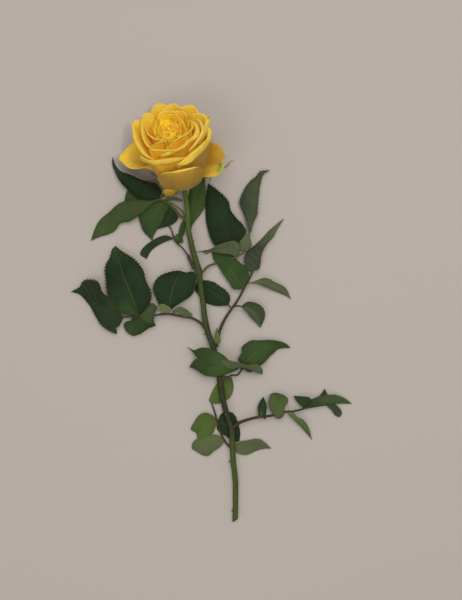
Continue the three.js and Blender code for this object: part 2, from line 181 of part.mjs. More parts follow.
// ---- grids to closed sheets -----------------------------------------------
// grid[j][i] are places on the middle surface; the sheet is thick all round
function sheet(grid, thick, grow = 0) {
  const nj = grid.length, ni = grid[0].length;
  let g = grid.map((row) => row.map((p) => p.clone()));
  if (grow > 0) {
    const push = (p, q) => p.addScaledVector(p.clone().sub(q).normalize(), grow);
    for (const row of g) {
      push(row[0], row[1]);
      push(row[ni - 1], row[ni - 2]);
    }
    for (let i = 0; i < ni; i++) {
      push(g[0][i], g[1][i]);
      push(g[nj - 1][i], g[nj - 2][i]);
    }
  }
  const half = thick / 2 + grow;
  const at = (j, i) => g[Math.min(nj - 1, Math.max(0, j))][Math.min(ni - 1, Math.max(0, i))];
  const verts = [];
  for (const side of [1, -1])
    for (let j = 0; j < nj; j++)
      for (let i = 0; i < ni; i++) {
        const du = at(j, i + 1).clone().sub(at(j, i - 1));
        const dv = at(j + 1, i).clone().sub(at(j - 1, i));
        const n = new THREE.Vector3().crossVectors(du, dv).normalize();
        verts.push(at(j, i).clone().addScaledVector(n, side * half));
      }
  const id = (s, j, i) => s * nj * ni + j * ni + i;
  const tris = [];
  const quad = (a, b, c, d) => tris.push(a, b, c, a, c, d);
  for (let j = 0; j < nj - 1; j++)
    for (let i = 0; i < ni - 1; i++) {
      quad(id(0, j, i), id(0, j, i + 1), id(0, j + 1, i + 1), id(0, j + 1, i));
      quad(id(1, j, i), id(1, j + 1, i), id(1, j + 1, i + 1), id(1, j, i + 1));
    }
  for (let i = 0; i < ni - 1; i++) {
    quad(id(0, 0, i), id(1, 0, i), id(1, 0, i + 1), id(0, 0, i + 1));
    quad(id(0, nj - 1, i), id(0, nj - 1, i + 1), id(1, nj - 1, i + 1), id(1, nj - 1, i));
  }
  for (let j = 0; j < nj - 1; j++) {
    quad(id(0, j, 0), id(0, j + 1, 0), id(1, j + 1, 0), id(1, j, 0));
    quad(id(0, j, ni - 1), id(1, j, ni - 1), id(1, j + 1, ni - 1), id(0, j + 1, ni - 1));
  }
  return solid(verts, tris);
}

// a closed solid from corners and triangles
function solid(verts, tris) {
  const mesh = new wasm.Mesh({
    numProp: 3,
    vertProperties: Float32Array.from(verts.flatMap((v) => [v.x, v.y, v.z])),
    triVerts: Uint32Array.from(tris),
  });
  mesh.merge();
  return new wasm.Manifold(mesh);
}

// a tube of changing radius through places
function tube(points, radii, sides) {
  const n = points.length;
  const verts = [], tris = [];
  let up = V(0, 0, 1);
  for (let i = 0; i < n; i++) {
    const t = points[Math.min(n - 1, i + 1)].clone().sub(points[Math.max(0, i - 1)]).normalize();
    up = up.clone().addScaledVector(t, -up.dot(t)).normalize();
    const side = new THREE.Vector3().crossVectors(t, up);
    for (let k = 0; k < sides; k++) {
      const f = (k / sides) * Math.PI * 2;
      verts.push(points[i].clone()
        .addScaledVector(side, Math.cos(f) * radii[i])
        .addScaledVector(up, Math.sin(f) * radii[i]));
    }
  }
  for (let i = 0; i < n - 1; i++)
    for (let k = 0; k < sides; k++) {
      const a = i * sides + k, b = i * sides + ((k + 1) % sides);
      tris.push(a, b, b + sides, a, b + sides, a + sides);
    }
  verts.push(points[0].clone(), points[n - 1].clone());
  const lo = verts.length - 2, hi = verts.length - 1;
  for (let k = 0; k < sides; k++) {
    const k2 = (k + 1) % sides;
    tris.push(lo, k2, k);
    tris.push(hi, (n - 1) * sides + k, (n - 1) * sides + k2);
  }
  let made = solid(verts, tris);
  if (made.volume() < 0) {
    const flip = [];
    for (let i = 0; i < tris.length; i += 3) flip.push(tris[i], tris[i + 2], tris[i + 1]);
    made = solid(verts, flip);
  }
  return made;
}

// ---- leaflets -------------------------------------------------------------
function leafGrid(mid, edgeA, edgeB, bend, nv, nu) {
  const base = mid[0], tip = mid[mid.length - 1];
  const M = resample(mid, nv);
  const EA = resample([base, ...edgeA.map((p) => [p[0], p[1], 0]), tip].map((p) => [p[0], p[1], 0]), nv);
  const EB = resample([base, ...edgeB.map((p) => [p[0], p[1], 0]), tip].map((p) => [p[0], p[1], 0]), nv);
  const rows = [];
  for (let j = 0; j <= nv; j++) {
    const t = j / nv;
    const swell = Math.pow(Math.sin(Math.PI * t), 0.7);
    const m = PLACE(...M[j]);
    let a = PLACE(EA[j][0], EA[j][1], M[j][2] + bend[0] * swell);
    let b = PLACE(EB[j][0], EB[j][1], M[j][2] + bend[1] * swell);
    if (j === 0 || j === nv) {
      const k = j === 0 ? 1 : nv - 1;
      const across = PLACE(EB[k][0], EB[k][1], M[k][2]).sub(PLACE(EA[k][0], EA[k][1], M[k][2])).normalize();
      const w = j === 0 ? 0.8 : 0.5;
      a = m.clone().addScaledVector(across, -w);
      b = m.clone().addScaledVector(across, w);
    }
    const row = [];
    for (let i = 0; i <= nu; i++) {
      const u = (i / nu) * 2 - 1;
      const s = Math.abs(u);
      const p = m.clone().lerp(u < 0 ? a : b, s);
      p.z += bend[2] * 4 * s * (1 - s) * swell;
      p.z = floorClamp(p.z);
      row.push(p);
    }
    rows.push(row);
  }
  return rows;
}

// ---- petals ---------------------------------------------------------------
function petalGrid(spec, nv, nu) {
  const [name, layer, bulge, crest, lip] = spec;
  if (name === "petal_guard_fallen") {
    const C = resample(crest, nu);
    const rows = [];
    for (let j = 0; j <= nv; j++) rows.push([]);
    for (let i = 0; i <= nu; i++) {
      const u = i / nu;
      const p0 = inBloom(6.5 * Math.cos(lerp(4.0, 4.9, u)), 6.5 * Math.sin(lerp(4.0, 4.9, u)), -1.5);
      const p3 = PLACE(...C[i]);
      const p1 = p0.clone().add(V(-2 + 3 * u, -7, -1));
      const p2 = p3.clone().add(V(0, 6, 3.5));
      const curve = new THREE.CubicBezierCurve3(p0, p1, p2, p3);
      for (let j = 0; j <= nv; j++) rows[j].push(curve.getPoint(j / nv));
    }
    return rows;
  }
  const C = resample(crest.map((p) => SIGHT(...p)), nu);
  const L = name.startsWith("petal_roll") ? resample(lip.map((p) => SIGHT(...p)), nu) : null;
  const mean = C.reduce((s, p) => [s[0] + p[0], s[1] + p[1]], [0, 0]);
  const ml = Math.hypot(mean[0], mean[1]) || 1;
  const md = [mean[0] / ml, mean[1] / ml];
  const r0 = lerp(6.6, 1.6, layer / 8);
  const h0 = lerp(0.6, 13, Math.pow(layer / 8, 0.8));
  const rows = [];
  const total = nv + (L ? 1 : 0);
  for (let j = 0; j <= total; j++) rows.push([]);
  for (let i = 0; i <= nu; i++) {
    const c = C[i];
    const r = Math.hypot(c[0], c[1]) || 1;
    const d = [lerp(md[0], c[0] / r, 0.55), lerp(md[1], c[1] / r, 0.55)];
    const dl = Math.hypot(d[0], d[1]) || 1;
    const b = [(d[0] / dl) * r0, (d[1] / dl) * r0, h0];
    let p1, p2;
    if (layer < 1) {
      p1 = [c[0] * 0.5, c[1] * 0.5, lerp(h0, c[2], GUARD_LIFT)];
      p2 = [c[0] * 0.78, c[1] * 0.78, c[2] * 1.02];
    } else {
      p1 = [c[0] * 0.74, c[1] * 0.74, h0];
      p2 = [c[0] * bulge, c[1] * bulge, h0 + (c[2] - h0) * 0.42];
    }
    const curve = new THREE.CubicBezierCurve3(V(...b), V(...p1), V(...p2), V(...c));
    for (let j = 0; j <= nv; j++) {
      const q = curve.getPoint(j / nv);
      rows[j].push(inBloom(q.x, q.y, q.z));
    }
    if (L) {
      const from = inBloom(...c), to = inBloom(...L[i]);
      const way = to.clone().sub(from);
      if (way.length() < 2.6) way.setLength(1).add(A.clone().multiplyScalar(-0.6)).setLength(2.6);
      rows[total].push(from.add(way));
    }
  }
  for (const row of rows) for (const p of row) p.z = floorClamp(p.z);
  return rows;
}

// ---- the pieces -----------------------------------------------------------
const pieces = []; // { name, body, fat, colour, rough }
function largest(body) {
  const parts = body.decompose();
  let best = parts[0];
  for (const p of parts) if (p.volume() > best.volume()) best = p;
  for (const p of parts) if (p !== best) p.delete();
  return best;
}
function touches(a, b) {
  const p = a.boundingBox(), q = b.boundingBox();
  for (let k = 0; k < 3; k++)
    if (p.min[k] > q.max[k] || q.min[k] > p.max[k]) return false;
  return true;
}
// a finished copy, so that no later step works through the earlier ones again
function settled(body) {
  const m = body.getMesh();
  const flat = new Float32Array(m.numVert * 3);
  for (let i = 0; i < m.numVert; i++)
    for (let k = 0; k < 3; k++) flat[i * 3 + k] = m.vertProperties[i * m.numProp + k];
  const mesh = new wasm.Mesh({ numProp: 3, vertProperties: flat, triVerts: new Uint32Array(m.triVerts) });
  mesh.merge();
  body.delete();
  return new wasm.Manifold(mesh);
}
// true when no face is a sliver and every edge still has two sides after
// corners closer than 0.002 mm are taken as one
function staysClosed(body) {
  const m = body.getMesh();
  const corner = (i) => V(...[0, 1, 2].map((k) => m.vertProperties[i * m.numProp + k]));
  for (let i = 0; i < m.triVerts.length; i += 3) {
    const [a, b, c] = [0, 1, 2].map((k) => corner(m.triVerts[i + k]));
    const twice = b.clone().sub(a).cross(c.clone().sub(a)).length();
    if (twice / Math.max(a.distanceTo(b), b.distanceTo(c), c.distanceTo(a)) < 0.0008) return false;
  }
  const key = [];
  for (const size of [500, 1000, 2000, 5000, 10000]) {
    for (let i = 0; i < m.numVert; i++) {
      const at = [0, 1, 2].map((k) => Math.round(m.vertProperties[i * m.numProp + k] * size));
      key[i] = at.join(",");
    }
    const edges = new Map();
    for (let i = 0; i < m.triVerts.length; i += 3) {
      const t = [key[m.triVerts[i]], key[m.triVerts[i + 1]], key[m.triVerts[i + 2]]];
      if (t[0] === t[1] || t[1] === t[2] || t[2] === t[0]) return false;
      for (let k = 0; k < 3; k++) {
        const a = t[k], b = t[(k + 1) % 3];
        const id = a < b ? a + "|" + b : b + "|" + a;
        edges.set(id, (edges.get(id) ?? 0) + 1);
      }
    }
    for (const n of edges.values()) if (n !== 2) return false;
  }
  return true;
}
function tidied(body, name) {
  for (const size of [1, 1.3, 1.6, 2, 2.5, 3, 3.6, 0.7, 0.5, 0.3, 0.2, 4.2, 5, 6]) {
    const tried = settled(largest(settled(body.simplify(TIDY * size))));
    if (staysClosed(tried) && pieces.every((o) => !touches(tried, o.fat) || tried.intersect(o.body).volume() < 0.002)) {
      body.delete();
      return tried;
    }
    tried.delete();
  }
  console.error(name + " can't be tidied");
  return body;
}
function add(name, body, fat, colour, rough) {
  body = settled(body);
  fat = settled(fat);
  for (const other of pieces) {
    if (!touches(body, other.fat)) continue;
    for (const tool of [other.fat, other.body]) {
      const cut = settled(body.subtract(tool));
      if (cut.isEmpty()) throw new Error(name + " is swallowed by " + other.name);
      body.delete();
      body = cut;
    }
  }
  body = tidied(settled(largest(body)), name);
  pieces.push({ name, body, fat, colour, rough });
}

const GREEN_STEM = 0x5b6f33, GREEN_LEAF = 0x34502a, GREEN_SEPAL = 0x6b7a3a, YELLOW = 0xe0b843;

// stem with thorns
function stemRadius(py) {
  for (let i = 0; i < STEM_R.length - 1; i++)
    if (py <= STEM_R[i][0] && py >= STEM_R[i + 1][0])
      return lerp(STEM_R[i][1], STEM_R[i + 1][1], (STEM_R[i][0] - py) / (STEM_R[i][0] - STEM_R[i + 1][0]));
  return STEM_R[STEM_R.length - 1][1];
}
const stemLine = resample(STEM, 26);
function stemBody(extra) {
  let body = tube(stemLine.map((p) => PLACE(...p)), stemLine.map((p) => stemRadius(p[1]) + extra), STEM_SIDES);
  for (const [px, py, turn, long] of THORNS) {
    let near = stemLine[0];
    for (const p of stemLine) if (Math.abs(p[1] - py) < Math.abs(near[1] - py)) near = p;
    const root = PLACE(near[0], py, near[2]);
    const f = (turn * Math.PI) / 180;
    const out = V(Math.cos(f), -0.25, Math.sin(f) * 0.6).normalize();
    const r = stemRadius(py);
    body = body.add(tube(
      [root.clone().addScaledVector(out, r - 1.2), root.clone().addScaledVector(out, r + long * 0.45), root.clone().addScaledVector(out, r + long)],
      [1.5 + extra, 0.75 + extra, 0.2 + extra], 5));
  }
  return body;
}
add("stem", stemBody(0), stemBody(GAP), GREEN_STEM, 0.5);

// receptacle
const HIP = [[-12.5, 2.9], [-9.5, 4.4], [-6, 5.4], [-2.5, 5.9], [0, 6.1]];
const hipBody = (extra) =>
  tube(HIP.map(([h], i) => inBloom(0, 0, h + (i === 0 ? -extra : i === HIP.length - 1 ? extra : 0))), HIP.map((p) => p[1] + extra), 12);
add("receptacle", hipBody(0), hipBody(GAP), GREEN_SEPAL, 0.55);

// compound leaves
const leafNames = [...new Set(RACHIS.map((r) => r[0]))];
for (const name of leafNames) {
  const build = (grow) => {
    let body = null;
    const join = (b) => (body = body ? body.add(b) : b);
    for (const [node, points, ra, rb] of RACHIS) {
      if (node !== name) continue;
      const line = resample(points, Math.max(2, points.length - 1));
      join(tube(line.map((p) => PLACE(p[0], p[1], Math.max(p[2], rb + 0.15))),
        line.map((_, i) => lerp(ra, rb, i / (line.length - 1)) + grow), STALK_SIDES));
    }
    for (const [node, id, mid, ea, eb, bend] of LEAFLETS) {
      if (node !== name) continue;
      const small = mid.length < 4 || ["g", "m1", "m2", "arc", "bud", "ajs", "lobe"].includes(id);
      join(sheet(leafGrid(mid, ea, eb, bend, small ? 3 : 5, 4), LEAF_THICK, grow));
    }
    return body;
  };
  add(name, build(0), build(GAP), GREEN_LEAF, 0.6);
}

// sepals
for (const [name, points, wide] of SEPALS) {
  const build = (grow) => {
    const line = resample(points, 6).map((p) => PLACE(...p));
    const grid = line.map((p, j) => {
      const t = line[Math.min(6, j + 1)].clone().sub(line[Math.max(0, j - 1)]).normalize();
      const side = new THREE.Vector3().crossVectors(V(0, 0.25, 1).normalize(), t).normalize();
      const w = wide * (0.35 + 0.65 * Math.sin(Math.PI * Math.min(1, 0.25 + j / 6))) * (j === 6 ? 0.3 : 1);
      return [-1, 0, 1].map((u) => {
        const q = p.clone().addScaledVector(side, u * w);
        q.z = floorClamp(q.z + Math.abs(u) * 0.6);
        return q;
      });
    });
    return sheet(grid, SEPAL_THICK, grow);
  };
  add(name, build(0), build(GAP), GREEN_SEPAL, 0.6);
}

// petals
for (const spec of PETALS) {
  const grid = petalGrid(spec, 4, 6);
  add(spec[0], sheet(grid, PETAL_THICK), sheet(grid, PETAL_THICK, GAP), YELLOW, 0.55);
}

// ---- the scene ------------------------------------------------------------
const rose = new THREE.Group();
rose.name = "cut_rose";
for (const { name, body, colour, rough } of pieces) {
  const m = body.getMesh();
  const flat = new Float32Array(m.numVert * 3);
  for (let i = 0; i < m.numVert; i++)
    for (let k = 0; k < 3; k++) flat[i * 3 + k] = m.vertProperties[i * m.numProp + k];
  const geometry = new THREE.BufferGeometry();
  geometry.setAttribute("position", new THREE.BufferAttribute(flat, 3));
  geometry.setIndex(new THREE.BufferAttribute(new Uint32Array(m.triVerts), 1));
  geometry.translate(SHIFT[0], SHIFT[1], 0);
  geometry.computeVertexNormals();
  const mesh = new THREE.Mesh(geometry, new THREE.MeshStandardMaterial({ color: colour, roughness: rough, metalness: 0 }));
  mesh.name = name;
  rose.add(mesh);
}

export default rose;
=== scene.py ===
"""A cut rose lying on a pale floor, seen from straight above.

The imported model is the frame. Each of its nodes gets a finely modelled piece in
the same place: petals as thin rolled shells, toothed leaflets with veins, a
stem with thorns. Lengths are worked out in millimetres and scaled to metres.
"""
import math

import bpy
import numpy as np
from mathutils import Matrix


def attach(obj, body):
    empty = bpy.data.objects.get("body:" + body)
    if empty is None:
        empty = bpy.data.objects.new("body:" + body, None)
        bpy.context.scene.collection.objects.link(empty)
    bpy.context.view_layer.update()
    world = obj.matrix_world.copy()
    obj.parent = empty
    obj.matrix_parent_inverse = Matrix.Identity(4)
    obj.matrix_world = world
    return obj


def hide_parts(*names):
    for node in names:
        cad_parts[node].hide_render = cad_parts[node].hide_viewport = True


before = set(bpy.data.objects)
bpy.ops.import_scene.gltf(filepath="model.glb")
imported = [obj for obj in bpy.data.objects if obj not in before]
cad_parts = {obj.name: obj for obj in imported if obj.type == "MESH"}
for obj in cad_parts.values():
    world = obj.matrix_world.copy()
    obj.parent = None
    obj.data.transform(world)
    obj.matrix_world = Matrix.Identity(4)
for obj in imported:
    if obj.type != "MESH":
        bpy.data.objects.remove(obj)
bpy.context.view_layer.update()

# ---- the drawing's frame --------------------------------------------------
VIEW_HEIGHT = 1115.0
CENTRE = np.array([21.0, 12.6])
DRAWING = np.array([231.0, 300.0])
SHIFT = np.array([0.85, 2.19, 0.0])
BLOOM_AT = np.array([-34.2, 146.0, 17.0])
BLOOM_AXIS = np.array([-0.19, 0.706, 0.682])

# ---- outlines, as in the solid model --------------------------------------
STEM = [[235.2,520,3.0],[235.5,500,3.6],[235.3,480,4.6],[233.1,460,5.6],[232.3,440,6.4],[231.8,430,6.6],[228.5,420,6.8],[223.2,400,7.0],[220,380,7.1],[214,349,7.2],[208.8,335,7.3],[205,320,7.4],[202.7,300,7.5],[201.1,290,7.5],[198.5,270,7.6],[192.8,250,7.8],[188.7,230,8.0],[187.5,210,8.6],[186.2,200,9.2],[185.2,194,9.1],[184.4,190,9.2]]
STEM_R = [[520,3.0],[500,2.95],[450,3.05],[428,3.6],[420,3.1],[395,3.1],[386,3.7],[378,3.15],[330,3.1],[322,3.4],[310,3.05],[280,3.1],[271,3.9],[262,3.1],[230,2.9],[219,3.2],[212,2.7],[190,2.75]]
THORNS = [[230.0,461,180,3.2],[231.6,510,175,2.2],[218.6,397,190,3.4],[205.6,333,170,2.6],[199.2,292,185,2.4],[190.5,240,15,2.2],[229.6,424,-30,2.6]]
RACHIS = [
["leaf_upper_left",[[185.2,218.9,8.2],[181.3,216.5,8.4],[174.6,209.7,9],[167.9,203,9.6],[160.5,199.4,9.8],[153.7,201.2,9.4]],1.45,1.0],
["leaf_upper_left",[[184.8,217,8.4],[183,212.6,8.8],[180.6,209.6,9.4],[176.4,206.4,10.4],[172.4,203.8,10.2],[168.6,201.9,9.9]],1.0,0.7],
["leaf_small_left",[[194.6,268.4,7.4],[191,261.8,7.6],[188.2,255.6,6.8]],2.5,1.7],
["leaf_small_left",[[188.4,256.0,6.8],[182.6,248,6],[176,242,5],[171,229,3.2],[164.4,218.6,2.2]],0.95,0.7],
["leaf_left",[[205.4,329.2,7.4],[201.4,323.7,8],[196,320,8.4],[190.6,317.4,8.4],[183.4,316.5,8.2],[176.2,315.1,8],[167.7,313.8,8],[155,315,7],[139,316,6.4],[120.4,317.2,5.4]],1.7,0.95],
["leaf_behind_bloom",[[188.8,231,7.2],[190.3,228.6,5.4],[190.9,222,3.8]],1.3,0.9],
["leaf_upper_right",[[200.6,273.6,7.4],[204,270.6,8.2],[208.5,266.2,7.6],[213,264.3,5.6],[220,262,3.4],[227,260,3.8],[232.4,258.2,6.6],[236,257,9],[244.8,251.4,8.8],[249,240,8.4],[249.2,232,8.4]],1.5,0.9],
["leaf_upper_right",[[240,254.6,8.8],[236,248,7.4],[233,241,6.4]],0.9,0.8],
["leaf_right",[[216.4,347,7.4],[218,338,8.4],[220,330,8.8],[225,319,9.2],[231.6,309,9.2],[237,301.4,9],[242.6,291.5,8.6],[245.9,285,8.6],[249.2,279.4,8.4],[253.2,270.4,8.2]],2.1,0.9],
["leaf_right",[[233.6,306.8,9.2],[237,305.8,9.4],[241,306.3,9.2]],0.9,0.85],
["leaf_right",[[231.6,309,9.2],[230,306.5,8],[228,304.6,6.6]],0.9,0.8],
["leaf_lower_middle",[[220.6,386.6,7.6],[222,380,9.2],[222.6,376.6,9.6],[228,377.2,9.8],[232,375.2,10],[237.6,375,10.2],[239.8,372.4,10.4],[242.8,368.2,10.4]],1.7,0.9],
["leaf_lower_middle",[[239.4,373,10.3],[241.6,370.4,11.4],[240,367.3,12]],0.9,0.8],
["leaf_low_left",[[232.2,448.6,6],[229.8,447,5.4],[225,441,4],[220.8,432.6,3],[217.8,423,2.8],[214.8,412.2,2.8],[211.6,403,2.8]],1.25,0.85],
["leaf_low_left",[[227.6,444.6,4.6],[229.6,445.2,3],[233,445,2.2]],0.9,0.8],
["side_shoot",[[231.6,428.4,6.6],[236.4,424.8,7.6],[240,422.4,8],[244.8,420.6,8],[252,418.4,8],[259.2,417,8],[266.4,416.4,8],[273,415.2,8],[283.2,413.2,7.6],[286.8,411.6,7.4],[292.8,411.4,7],[300,409.8,6.4],[306,408,5.6],[326,404.6,4.4]],2.1,0.85],
["side_shoot",[[258.6,416.8,8],[259,413.4,9],[260.4,411.6,9.6]],0.85,0.8]
]
